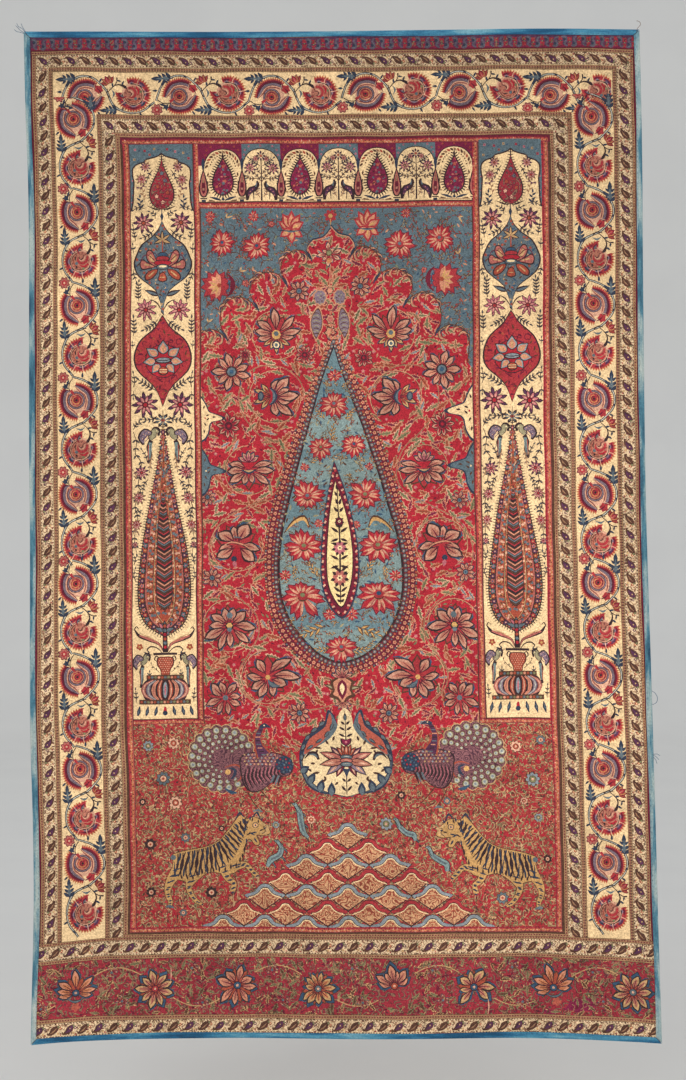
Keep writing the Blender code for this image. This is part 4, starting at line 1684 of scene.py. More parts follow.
def field_flowers():
    """The field's flowers, the large ones on clear crimson in a ring of vine."""
    motif = []
    for x, y, radius, kind, turned in FIELD_FLOWERS:
        if radius > 30:
            ring = ink("crimson", disc(radius * 0.94, steps=12))
            ring += vine(arc(radius * 1.22, 20, 310), 1.5) + vine(arc(radius * 1.19, 30, 300), 0.8, "umber")
            for turn in range(30, 310, 28):
                hook = ink("husk", brush([(0, 0), (5, -3), (6, -8), (2, -9)], (1.0, 1.6, 1.0, 0.6), 2))
                ring += put(hook, arc(radius * 1.22, turn, turn, steps=1)[0], turn + 60)
            motif += put(ring, (x, y), 70, (-1 if turned else 1, 1))
        motif += put(FIELD_KINDS[kind](radius * 1.2), (x, y), 0, (-1 if turned else 1, 1))
    return motif


def field_leaves():
    """The thick of leaves, vines and small buds over the crimson field, bent round its flowers."""
    chance = np.random.default_rng(SEED_LEAVES)
    fronds = [
        frond(24, "olive", "blush"), frond(20, "brown"), frond(27, "rust"), frond(20, "grey", "salmon"),
        frond(22, "wine", "salmon"), frond(25, "olive"),
    ]
    buds = [
        ink("husk", leaf(9, 3.4, 0, 2)), ink("olive", leaf(9, 3.6, 1, 2)), ink("maroon", leaf(7, 3, 0, 2)),
        ink("husk", brush([(0, 0), (5, -3), (9, 2)], 1.2, 2)), floret(3.4, "pink", "tan", 5, 2),
    ]
    flowers = np.array([(x, y, radius) for x, y, radius, _, _ in FIELD_FLOWERS])
    left, top, right, bottom = FIELD
    motif = []
    for pitch, kinds in ((11.5, buds), (16.5, fronds)):
        for row, y in enumerate(np.arange(top, bottom, pitch)):
            for x in np.arange(left + pitch / 2 * (row % 2), right, pitch):
                at = np.array([x, y]) + pitch * chance.uniform(-0.3, 0.3, 2)
                off = np.hypot(*(flowers[:, :2] - at).T) - flowers[:, 2]
                near = flowers[off.argmin()]
                turn = math.degrees(math.atan2(near[1] - at[1], at[0] - near[0]))
                turn += chance.choice([-70, 70, 110]) + chance.uniform(-25, 25)
                kind = kinds[int(chance.integers(len(kinds)))]
                flip = bool(chance.integers(2))
                size = chance.uniform(0.85, 1.15)
                if off.min() > -1 and (at[1] > 960 or abs(at[0] - FIELD_AXIS) > 0.36 * (at[1] - 600)):
                    motif += put(kind, at, turn, size, flip)
    line = vine(FIELD_VINE, 2.2) + vine(FIELD_VINE, 0.9, "umber")
    return motif + line + mirror(line, FIELD_AXIS)


# The arch over the field, from its tip down its right side: across from the axis, and down
ARCH_HALF = (
    (0, 326), (6, 334), (14, 341), (26, 344), (31, 346), (38, 355), (40, 366), (36, 378),
    (45, 366), (58, 364), (71, 369), (81, 378), (86, 392), (83, 407), (77, 421),
    (86, 408), (98, 402), (113, 402), (126, 409), (136, 421), (139, 436), (133, 449), (127, 463),
    (136, 452), (147, 445), (161, 443), (175, 449), (185, 462), (189, 478), (187, 495), (181, 512),
    (189, 503), (203, 497), (219, 501), (231, 511), (236, 525), (234, 545), (233, 560),
)
ARCH_AXIS = 516.0


def field_shape():
    """The crimson field's outline: the cusped arch above, and straight sides below."""
    half = np.array(ARCH_HALF, float) + (ARCH_AXIS, 0)
    left = np.array(ARCH_HALF, float)[::-1] * (-1, 1) + (ARCH_AXIS - 1.5, 5)
    foot = [(FIELD[2], 575), (FIELD[2], FIELD[3]), (FIELD[0], FIELD[3]), (FIELD[0], 575)]
    return np.concatenate([curve(left, fine=3), curve(half, fine=3)[1:], foot])


def lobe_curls(middle, radius, side):
    """The hooked acanthus leaves along one lobe of the arch: gold over indigo, on crimson."""
    x, y = middle
    motif = []
    for turn, size in ((132, 1.0), (92, 0.9), (52, 0.9), (14, 1.0)):

        def at(share, more):
            angle = math.radians(turn + more)
            return (x + side * radius * share * math.cos(angle), y - radius * share * math.sin(angle))

        hook = [at(0.5, 34), at(0.8, 30), at(1.02, 8), at(0.92, -22)]
        motif += ink("outline", brush(hook, (1.4, 7.4 * size, 6.6 * size, 1.2), 4))
        motif += ink("husk", brush(hook, (0.8, 5.2 * size, 4.6 * size, 0.8), 4))
        motif += ink("indigo", brush([at(0.84, 24), at(1.0, 6), at(0.95, -12)], (0.8, 3.0, 0.8), 3))
        motif += ink("red", brush([at(0.6, 30), at(0.84, 22), at(0.94, 4)], (0.8, 2.4, 0.8), 3))
    return motif


def spandrels():
    """The blue ground over the arch, with its flowers, twigs and small orange leaves."""
    left, top, right, _ = FIELD
    motif = ink("teal", rectangle(left, top, right, 575))
    chance = np.random.default_rng(SEED_LEAVES + 1)
    bits = [
        ink("husk", leaf(8, 3, 0, 3)), ink("rust", leaf(7, 2.6, 0, 3)),
        ink("umber", brush([(0, 0), (5, -3), (10, 0)], 0.9, 2)), ink("navy", leaf(8, 3, 0, 3)),
        ink("olive", leaf(7, 2.6, 0, 3)), ink("navy", brush([(0, 0), (6, 3), (11, 0)], 1, 2)),
        spray(15, "red", 4), spray(14, "sage", 4), spray(13, "coral", 4),
        ink("umber", brush([(0, 0), (6, -4), (12, 0), (16, 4)], 1.1, 2)),
    ]
    motif += thicket((left + 4, top + 5, right - 4, 560), 9.0, bits + bits[6:], chance)
    for x, y, size in (
        (310, 312, 10), (385, 312, 10), (645, 308, 9), (415, 325, 6), (308, 318, 6), (370, 425, 7),
        (675, 405, 6),
    ):
        motif += put(peony(size, x), (x, y), x)
    for x, y, size, turn in ((330, 356, 22, 0), (390, 362, 24, 30), (634, 360, 25, 10), (703, 351, 24, 50)):
        motif += put(peony(size, x), (x, y), turn)
    motif += put(half_lotus(32), (449, 333)) + put(half_lotus(33), (579, 331))
    motif += put(profile(29), (320, 428), 180) + put(profile(30), (712, 420))
    motif += put(floret(11, "red", "gold", 7, 4), (516, 311))
    motif += ink("gold", brush([(516, 316), (516, 328)], 1.6))
    for x, y, turn in (
        (338, 314, 20), (360, 405, 10), (330, 478, 80), (306, 490, 40), (735, 316, -50), (735, 378, 80)
    ):
        twigs = ink("tan", leaf(12, 3.4, 1, 3)) + put(ink("tan", leaf(9, 3, 0, 3)), (0, 0), 60)
        motif += put(twigs + ink("umber", brush([(0, 0), (-8, 2)], 1)), (x, y), turn)
    return motif


def arch_edge():
    """The arch's double outline and its acanthus leaves."""
    motif = []
    for sideways, drop in ((1, 0), (-1, 5)):
        lobes = ((62, 390, 25), (112, 427, 26), (161, 470, 27), (208, 526, 27))
        for across, down, radius in lobes:
            middle = (ARCH_AXIS + sideways * across - (1.5 if sideways < 0 else 0), down + drop)
            motif += lobe_curls(middle, radius, sideways)
        line = np.array(ARCH_HALF, float) * (sideways, 1) + (ARCH_AXIS, drop)
        motif += ink("indigo", brush(line[:8], 2.4, 3)) + ink("husk", brush(line[:8] + (0, 2.6), 1.6, 3))
        for start, end in ((8, 15), (15, 23), (23, 31), (31, 38)):
            motif += ink("umber", brush(line[start - 1 : end], (1.6, 1.6), 3))
        for k in (7, 14, 22, 30):
            tip = line[k]
            motif += ink(
                "indigo",
                brush(
                    [tip + (sideways * 7, -14), tip + (sideways * 1, -6), tip + (-sideways * 4, 5)],
                    (1, 4.4, 1.4),
                ),
            )
            motif += ink(
                "husk",
                brush(
                    [tip + (sideways * 3, -16), tip + (-sideways * 2.4, -6), tip + (-sideways * 7, 2)],
                    (0.8, 1.8, 0.8),
                ),
            )
    return motif


def axis_plant():
    """The upright plant between the arch's tip and the great boteh."""
    bud = (
        ink("husk", petals(9, 14, 0.12, 2) * (0.9, 1.1))
        + ink("mauve", petals(9, 11.4, 0.12, 2) * (0.9, 1.1))
    )
    for k in range(16):
        ring = 2.7 * math.sqrt(k)
        bud += put(
            ink(("sage", "umber", "mauve")[k % 3], disc(1.4, steps=5)),
            arc(ring, 137.5 * k, 137.5 * k, steps=1)[0],
        )
    side = (
        put(frond(25, "olive"), (3, 106), 62)
        + put(frond(24, "rust"), (8, 106), 22)
        + put(frond(18, "olive"), (4, 84), 40)
    )
    side += ink("husk", brush([(0, 106), (14, 106), (31, 114), (38, 132), (33, 150), (24, 196)], 1.3))
    side += put(bud, (17, 123))
    blade = curve(
        [(20, 142), (28, 150), (33, 164), (31, 178), (25, 191), (21, 184), (15, 172), (15, 156)], True, 3
    )
    middle = np.array([24, 166])
    for dye, size in (("husk", 1.2), ("umber", 1.04), ("mauve", 0.93)):
        side += ink(dye, (blade - middle) * size + middle)
    for k in range(9):
        y = 150 + 4.2 * k
        side += ink(
            ("umber", "sage")[k % 2], brush([(17.6, y + 2), (23.6, y - 1), (30.4, y + 1)], (0.8, 1.7, 0.8))
        )
    motif = ink("husk", brush([(0, 70), (0, 206)], 1.4)) + both(side)
    motif += put(bloom(23, DAISY[::2], "clay", "blush"), (-2, 51))
    motif += put(bloom(15, DAISY[1::2], "salmon", "blush"), (-2, 51))
    motif += ink("umber", disc(5.6, (-2, 48), 9))
    motif += ink("olive", disc(4.2, (-2, 48), 8))
    motif += ink("amber", disc(4.4, (-2, 61), 7))
    for y, radius, dye in (
        (112, 6, "salmon"), (140, 7, "crimson"), (160, 8, "brick"), (182, 10, "salmon"), (200, 7, "rust")
    ):
        motif += put(
            ink("outline", petals(6, radius * 1.2, 0.3, 2)) + ink("husk", petals(6, radius, 0.3, 2)), (0, y)
        )
        motif += ink(dye, disc(radius * 0.6, (0, y), 8))
    return put(motif, (514.5, 326))


# Side brackets: outline points for the left one, tip towards the field
BRACKET = (
    (0, -40), (10, -24), (15, -12), (24, -8), (40, -2), (38, 3), (22, 6), (16, 12), (14, 24), (8, 36),
    (0, 42),
)


def brackets():
    """The cream and blue brackets that reach in from the field's sides."""
    motif = []
    places = (
        (293, 652, 1, 0.95, "cream"), (762, 642, -1, 1.25, "cream"), (293, 742, 1, 0.98, "teal"),
        (762, 735, -1, 1.15, "teal"),
    )
    for x, y, side, size, dye in places:
        shape = curve(BRACKET, fine=3)
        piece = ink("indigo", shape * 1.05) + ink(dye, shape * (0.93, 0.95))
        mark = "outline" if dye == "cream" else "umber"
        for a, b, turn in ((5, -16, 70), (9, -4, 20), (6, 8, -60), (20, -2, 0), (5, 20, -80), (10, 4, 40)):
            piece += put(ink(mark, leaf(7, 2.8, 0, 3)), (a, b), turn)
        piece += ink("pale" if dye == "teal" else "crimson", disc(1.6, (8, 0), 6))
        motif += within(rectangle(*FIELD), put(piece, (x, y), 0, (side * size, size)))
    return motif


# The great boteh's two edges, from the tip down the left side and up the right
BOTEH_OUTER = (
    (518, 497), (500, 550), (479, 600), (461, 650), (444, 700), (428, 750), (413, 800), (402, 850),
    (398, 900), (401, 950), (414, 1000), (441, 1045), (485, 1076), (528, 1086), (571, 1077), (615, 1048),
    (643, 1003), (656, 950), (657, 900), (649, 850), (636, 800), (621, 750), (605, 700), (587, 650),
    (566, 600), (540, 550),
)
BOTEH_INNER = (
    (520, 528), (508, 560), (495, 600), (480, 650), (465, 700), (451, 750), (438, 800), (427, 850),
    (421, 900), (424, 950), (438, 990), (460, 1025), (490, 1053), (527, 1066), (566, 1053), (600, 1024),
    (622, 990), (633, 950), (634, 900), (627, 850), (613, 800), (598, 750), (581, 700), (564, 650),
    (545, 600), (530, 560),
)
HEART_OUTER = (
    (519, 722), (508, 780), (499, 830), (494, 880), (494, 925), (505, 965), (530, 992), (551, 962),
    (560, 920), (559, 875), (551, 825), (538, 775), (526, 740),
)
HEART_INNER = (
    (521, 757), (513, 795), (507, 835), (503, 880), (504, 920), (511, 948), (529, 973), (542, 948),
    (549, 915), (549, 875), (543, 830), (532, 790),
)


def closed_curve(points):
    """A closed smooth outline that keeps its first point sharp."""
    line = list(points) + [points[0]]
    return curve(line, fine=4)[:-1]


def beads_along(line, pitch, pieces):
    """Small pieces by turns along a closed line."""
    path = np.concatenate([line, line[:1]])
    count = int(np.hypot(*np.diff(path, axis=0).T).sum() / pitch)
    motif = []
    for k, at in enumerate(spaced(path, count + 1)[:-1]):
        motif += put(pieces[k % len(pieces)], at, 37 * k)
    return motif


def great_boteh():
    """The tall blue boteh with a border of florets, its flowers, and the cream boteh in its heart."""
    outer, inner = closed_curve(BOTEH_OUTER), closed_curve(BOTEH_INNER)
    motif = ink("outline", outer) + ink("maroon", sized(outer, (527, 800), (0.985, 0.993)))
    plump = (
        ink("umber", petals(5, 4.6, 0.3, 2))
        + ink("salmon", petals(5, 3.7, 0.3, 2))
        + ink("red", disc(1.5, steps=4))
    )
    plain = (
        ink("umber", disc(4.0, steps=6))
        + ink("slate", disc(3.0, steps=6))
        + ink("blush", disc(1.2, steps=4))
    )
    small = [
        ink("blush", disc(1.7, steps=4)), ink("coral", disc(2.3, steps=5)), ink("tan", disc(1.9, steps=4)),
        ink("rust", disc(2.4, steps=5)), ink("slate", disc(1.9, steps=4)),
    ]
    for share, pitch, pieces in (
        (0.08, 4.7, small), (0.34, 9.2, [plump]), (0.62, 5.2, small[2:]), (0.85, 8.1, [plain])
    ):
        line = mix(np.array(BOTEH_OUTER, float), np.array(BOTEH_INNER, float), share)
        motif += beads_along(closed_curve(line), pitch, pieces)
    clear = sized(inner, (527, 880), (0.965, 0.984))
    motif += ink("outline", inner) + ink("lake", clear)
    motif += within(clear, ink("sea", rectangle(420, 645, 640, 705), rectangle(420, 722, 640, 765)))
    motif += within(
        clear,
        ink(
            "sea", rectangle(420, 840, 640, 852), rectangle(420, 880, 640, 965),
            rectangle(420, 1010, 640, 1070),
        ),
    )
    chance = np.random.default_rng(SEED_LEAVES + 2)
    bits = [
        spray(15, "sage", 5), spray(13, "gold", 5), spray(14, "rust", 5), spray(12, "coral", 4),
        ink("navy", leaf(10, 3.6, 1, 3)), ink("umber", leaf(9, 3, 0, 3)), ink("sage", leaf(10, 3.4, 0, 3)),
    ]
    motif += within(inner, thicket((424, 560, 632, 1064), 11.0, bits, chance))
    for x, y, turn, length in (
        (500, 1004, 200, 40), (552, 1004, -20, 40), (488, 920, 120, 26), (572, 912, 60, 26),
        (452, 900, 260, 20), (602, 900, -80, 20), (505, 655, 130, 22), (540, 655, 50, 22),
        (516, 600, 150, 14), (534, 600, 30, 14), (515, 690, 80, 24), (480, 728, 40, 18),
        (572, 728, 140, 18), (510, 1046, 170, 26), (545, 1046, 10, 26),
    ):
        motif += put(spray(length, "gold"), (x, y), turn)
    for side in (1, -1):
        wing = ink("umber", brush([(8, 0), (18, -16), (36, -8), (52, 10)], (2, 9, 6, 1.5)))
        wing += ink("gold", brush([(10, -2), (18, -14), (34, -8), (48, 6)], (1, 6.4, 4, 0.8)))
        motif += put(wing, (527 + side * 42, 836), 0, (side, 1))
    for x, y, radius, drop in (
        (522, 582, 12, 0.0), (521, 629, 23, 0.1), (497, 702, 20, 0.1), (553, 698, 21, 0.1),
        (469, 735, 8, 0.0), (579, 735, 8, 0.0), (474, 784, 27, -0.1), (572, 783, 27, -0.1),
        (466, 868, 30, 0.0), (592, 868, 31, 0.0), (434, 918, 11, 0.0), (620, 918, 11, 0.0),
        (463, 952, 32, 0.26), (592, 950, 32, 0.26), (508, 984, 12, 0.0), (546, 984, 12, 0.0),
        (527, 1040, 25, 0.1), (492, 830, 8, 0.0), (556, 832, 8, 0.0),
    ):
        motif += put(peony(radius, x + y, drop), (x, y), 0, (1.06, 0.94))
    return motif + boteh_heart()


def boteh_heart():
    """The slim cream boteh in a beaded red border, with a dark flowering stem."""
    outer, inner = closed_curve(HEART_OUTER), closed_curve(HEART_INNER)
    motif = ink("indigo", outer) + ink("maroon", sized(outer, (527, 880), (0.92, 0.972)))
    line = closed_curve(mix(np.array(HEART_OUTER[:12], float), np.array(HEART_INNER, float), 0.42))
    beads = [
        ink("blush", rectangle(-2.4, -1.5, 2.4, 1.5)), ink("outline", disc(1.5, steps=5)),
        ink("red", disc(2.3, steps=6)),
    ]
    motif += beads_along(line, 4.4, beads)
    motif += ink("outline", inner) + ink("lemon", sized(inner, (527, 870), (0.93, 0.975)))
    stem = ink("outline", brush([(524, 766), (526, 840), (527, 900), (528, 966)], (1.4, 2.6, 3.0, 1.6)))
    rows = (
        (776, 14, 82), (786, 11, 60), (800, 12, 72), (812, 12, 50), (846, 17, 35), (856, 15, -20),
        (892, 17, 28),
    )
    for y, reach, turn in (*rows, (902, 16, -15), (866, 15, 10), (838, 12, 60)):
        for side in (1, -1):
            stem += put(
                ink("outline", leaf(reach, 5.0, 0, 3)), (526 + side, y), turn if side > 0 else 180 - turn
            )
    for y, reach in ((912, 18), (924, 18), (946, 16), (955, 12), (963, 8)):
        for side in (1, -1):
            stem += put(ink("outline", leaf(reach, 5.0, 0, 3)), (528, y), 90 - side * 52)
    for y, radius, dye in ((827, 9, "maroon"), (872, 15, "pink"), (922, 17, "brick")):
        stem += put(daisy(7, radius, "outline", dye, 0.4, 0.3), (526.5, y))
        stem += put(petal_ring(radius * 0.76, dye), (526.5, y))
    return motif + within(inner, stem)


def petal_ring(radius, dye):
    """A small round flower with a pale centre and a dark dot."""
    motif = ink(dye, petals(7, radius, 0.4, 4)) + ink("pale", petals(6, radius * 0.45, 0.4, 2))
    return motif + ink("outline", disc(radius * 0.16, steps=5))


def boteh_foot():
    """The pointed palmette and the spread of leaves that the great boteh stands on."""
    motif = []
    for side in (1, -1):
        for turn, reach in ((14, 34), (38, 30), (62, 24)):
            motif += put(ink("umber", leaf(reach, 9, 3)), (528, 1112), 90 - side * (90 - turn))
            motif += put(ink("sage", leaf(reach * 0.84, 5, 2.4)), (528, 1112), 90 - side * (90 - turn))
    motif += ink(
        "umber",
        mirrored([(0, -26), (10, -16), (20, -8), (16, 6), (22, 16), (8, 22), (0, 36)]) + (528, 1106),
    )
    motif += ink(
        "salmon",
        mirrored([(0, -20), (7, -13), (15, -7), (12, 5), (15, 13), (6, 18), (0, 30)]) + (528, 1106),
    )
    motif += ink("maroon", mirrored([(0, -12), (6, -6), (8, 2), (6, 12), (0, 22)]) + (528, 1106))
    motif += ink("pale", mirrored([(0, -6), (3, -2), (4, 4), (0, 14)]) + (528, 1106))
    for turn in (24, 58, 90, 122, 156):
        motif += put(lotus_petal(20, 7.5, 0, "brick"), (528, 1092), turn)
    for turn in (200, 235, 270, 305, 340):
        motif += put(lotus_petal(14, 6, 0, "salmon"), (528, 1132), turn)
    return motif


def field():
    """The whole field between the pillars, above the garden."""
    shape = field_shape()
    motif = spandrels()
    motif += within(
        shape, ink("crimson", rectangle(*FIELD)) + field_leaves() + field_flowers() + axis_plant()
    )
    motif += arch_edge() + brackets() + great_boteh() + boteh_foot()
    return within(rectangle(*FIELD), motif)


# The garden below the field


GARDEN = (174.5, 1165.0, 879.5, 1511.5)
SEED_GARDEN = 5
AXIS = 531.0

TIGER_BODY = (
    (232, 1392), (246, 1386), (268, 1381), (292, 1376), (312, 1366), (326, 1352), (338, 1337), (351, 1322),
    (361, 1329), (373, 1326), (386, 1333), (397, 1346), (399, 1354), (388, 1358), (376, 1357), (381, 1371),
    (374, 1374), (366, 1364), (359, 1367), (356, 1380), (352, 1394), (346, 1408), (338, 1420), (320, 1421),
    (300, 1418), (286, 1424), (272, 1435), (261, 1437), (250, 1433), (240, 1430), (233, 1414), (235, 1402),
)
TIGER_SPINE = (
    (240, 1408, 20), (270, 1404, 22), (300, 1397, 23), (322, 1385, 24), (338, 1366, 23), (350, 1348, 19),
    (362, 1336, 12),
)
TIGER_LEGS = (
    (((241, 1418), (229, 1436), (225, 1453), (230, 1468), (229, 1478)), (20, 14, 9, 7, 5)),
    (((268, 1428), (261, 1443), (266, 1458), (275, 1469), (284, 1474)), (18, 10, 8, 7, 4)),
    (((320, 1412), (327, 1429), (337, 1438), (334, 1452)), (16, 10, 8, 9)),
    (((338, 1410), (356, 1407), (366, 1417), (375, 1425)), (14, 9, 7, 8)),
)


def tiger():
    """A striding tiger, gold with dark slanting stripes, its head turned up to the right."""
    body = curve(TIGER_BODY, True, 3)
    motif = ink("umber", *(brush(line, np.array(wide) + 2.0, 4) for line, wide in TIGER_LEGS))
    motif += ink("umber", brush(np.concatenate([body, body[:1]]), 2.6, 1))
    motif += ink("fawn", *(brush(line, wide, 4) for line, wide in TIGER_LEGS)) + ink("fawn", body)
    spine = np.array(TIGER_SPINE, float)
    count = 36
    path = spaced(curve(spine[:, :2]), count)
    half = np.interp(np.linspace(0, 1, count), np.linspace(0, 1, len(spine)), spine[:, 2])
    along = np.gradient(path, axis=0)
    up = np.stack([along[:, 1], -along[:, 0]], axis=1) / np.hypot(*along.T)[:, None]
    for k in range(count):
        back, belly = path[k] + up[k] * half[k] * 0.98 + (5, 0), path[k] - up[k] * half[k] * 0.98 - (8, 0)
        middle = mix(back, belly, 0.5) + (3.4 * (-1) ** k, 0)
        if k % 3 == 1:
            motif += ink("indigo", brush([back, mix(back, middle, 0.5) + (2, 0), middle], (3.0, 3.8, 0.6)))
            motif += ink(
                "indigo", brush([belly, mix(belly, middle, 0.4) - (2, 0), middle - (3, 4)], (2.2, 3.4, 0.6))
            )
        else:
            motif += ink("outline", brush([back, middle, belly], (1.6, 4.0, 1.4)))
    for line, wide in TIGER_LEGS:
        marks = spaced(curve(line), 12)
        for k, at in enumerate(marks):
            breadth = np.interp(k / 11, np.linspace(0, 1, len(wide)), wide)
            side = 0.5 if k % 2 else -0.46
            motif += put(
                ink("indigo", leaf(breadth * 0.9, 2.9, 0.6, 3)), at + (breadth * side, 0),
                200 if k % 2 else 20,
            )
    motif += ink(
        "indigo", brush([(342, 1330), (350, 1318), (356, 1326)], (1, 4, 1)),
        brush([(370, 1327), (378, 1318), (384, 1330)], (1, 4, 1)),
    )
    for x, y, turn, length in (
        (356, 1338, 100, 12), (366, 1332, 80, 9), (352, 1350, 20, 11), (364, 1352, -30, 12),
        (372, 1362, -60, 10),
    ):
        motif += put(ink("indigo", leaf(length, 3.2, 0, 3)), (x, y), turn)
    for x, y, turn, length in (
        (384, 1334, 60, 9), (388, 1346, 10, 8), (360, 1362, -100, 10), (378, 1352, 190, 12),
        (346, 1344, 130, 10),
    ):
        motif += put(ink("indigo", leaf(length, 3.0, 0, 3)), (x, y), turn)
    for k, (x, y) in enumerate(
        spaced(curve([(250, 1432), (270, 1432), (290, 1420), (320, 1419), (345, 1408), (357, 1378)]), 15)
    ):
        motif += put(ink("outline", leaf(9 + 3 * (k % 2), 3.2, 0.8, 3)), (x, y), 110 - 2 * k)
    for x, y, turn, length in (
        (364, 1330, 250, 11), (371, 1326, 262, 9), (380, 1330, 275, 7), (368, 1352, 215, 11),
        (381, 1350, 20, 9),
    ):
        motif += put(ink("outline", leaf(length, 2.8, 0.6, 3)), (x, y), turn)
    motif += ink("indigo", disc(5.4, (375, 1340), 9)) + ink("gold", disc(4.2, (375, 1340), 9))
    motif += ink("blush", disc(2.6, (375, 1340), 7)) + ink("indigo", disc(1.6, (375, 1340), 6))
    motif += ink("tan", brush([(384, 1336), (395, 1344), (392, 1354), (383, 1352)], (3, 5, 5, 3)))
    motif += ink("outline", brush([(386, 1356), (392, 1350), (388, 1344), (394, 1341)], 1.1))
    motif += ink("slate", disc(4.6, (235, 1395), 7))
    motif += ink("slate", brush([(223, 1477), (229, 1476), (236, 1479)], (3, 5, 2)))
    return motif


def peacock():
    """A peacock with its fan spread behind it, its breast to the right and its crest up."""
    fan_at = (322, 1228)
    motif = ink("tan", petals(19, 60, 0.075, 4) + fan_at) + ink("plume", petals(19, 58.4, 0.075, 4) + fan_at)
    for ring, eye, count, start, end in (
        (49, 5.4, 15, 28, 300), (39, 3.8, 15, 34, 300), (30, 3.0, 13, 40, 300), (21, 2.2, 10, 40, 290)
    ):
        for k, at in enumerate(arc((ring * 1.04, ring), start, end, fan_at, count)):
            eyes = ink("umber", disc(eye + 1.0, steps=8)) + ink("sage", disc(eye + 0.2, steps=8))
            eyes += ink("ash", disc(eye * 0.76, steps=7)) + ink("grey", disc(eye * 0.42, (0.4, -0.3), 6))
            motif += put(eyes, at)
    motif += ink("plume", petals(5, 17, 0.3, 4) + (336, 1250)) + ink("gold", disc(5, (331, 1250), 7))
    motif += ink("indigo", brush([(334, 1243), (343, 1247), (342, 1256), (336, 1262)], (2, 5, 5, 2)))
    motif += ink(
        "rust", brush([(326, 1242), (340, 1238), (352, 1242), (354, 1258), (346, 1268)], (1, 2.4, 3, 3, 1))
    )
    wing = [
        (352, 1226), (372, 1217), (396, 1215), (418, 1219), (436, 1226), (442, 1240), (435, 1255),
        (418, 1260),
    ]
    wing = curve(wing + [(402, 1270), (386, 1282), (368, 1284), (356, 1270), (352, 1248)], True, 3)
    motif += ink("outline", wing) + within(wing, ink("plume", sized(wing, (396, 1245), 0.95)))
    for k in range(11):
        start = (362 + 6.2 * k, 1244 - 0.6 * k)
        motif += ink(
            "outline", brush([start, (start[0] - 3, 1262 - k), (start[0] + 4, 1280 - 2.4 * k)], (1, 3.4, 1))
        )
        motif += ink(
            "pink",
            brush(
                [(start[0] + 3, start[1] + 2), (start[0], 1260 - k), (start[0] + 6, 1274 - 2.2 * k)], 0.9
            ),
        )
    for k in range(34):
        x, y = 360 + (k % 9) * 6.4 + 3.2 * ((k // 9) % 2), 1221 + (k // 9) * 5.6
        motif += ink(("tan", "grey", "salmon")[k % 3], disc(1.8, (x, y), 5))
    breast = ink("indigo", disc(15.5, (426, 1238), 12))
    for k in range(22):
        turn, ring = 137.5 * k, 3.1 * math.sqrt(k)
        breast += put(
            ink(("slate", "navy", "crimson")[k % 3], disc(1.8, steps=5)),
            arc(ring, turn, turn, (426, 1238), 1)[0],
        )
    motif += breast
    for k in range(4):
        motif += ink(
            ("outline", "slate")[k % 2],
            brush([(420 - 4 * k, 1256), (416 - 4 * k, 1266), (413 - 4 * k, 1275 - 2 * k)], (3, 3.4, 1)),
        )
    neck = [(392, 1222), (385, 1206), (384, 1190), (391, 1175)]
    motif += ink("rust", brush(neck, (26, 16, 11, 9))) + ink("purple", brush(neck, (20, 11, 8, 7)))
    for k, at in enumerate(spaced(curve(neck), 9)[:-1]):
        motif += ink(("slate", "outline", "salmon")[k % 3], brush([at - (4, 1), at + (4, -1)], 1.8))
    motif += ink("indigo", brush([(388, 1175), (396, 1172), (406, 1175)], (5, 8, 1.4)))
    motif += ink("pale", disc(1.3, (395, 1172), 5))
    for turn in (75, 95, 115, 135):
        motif += put(
            ink("tan", brush([(0, 0), (10, 0)], 1)) + ink("tan", disc(2.6, (11, 0), 5)), (390, 1169), turn
        )
    for leg in ([(364, 1284), (372, 1300), (382, 1313)], [(384, 1280), (396, 1294), (410, 1308)]):
        motif += ink("umber", brush(leg, (2.4, 1.8, 1.4)))
    motif += ink("slate", brush([(372, 1316), (380, 1314), (388, 1317)], (2, 4, 1)))
    motif += ink("gold", disc(3, (376, 1319), 6))
    motif += ink("navy", brush([(326, 1278), (336, 1284), (346, 1285)], (2, 6, 2)))
    motif += ink("coral", brush([(326, 1284), (338, 1290), (348, 1288)], (1, 3, 1)))
    return motif


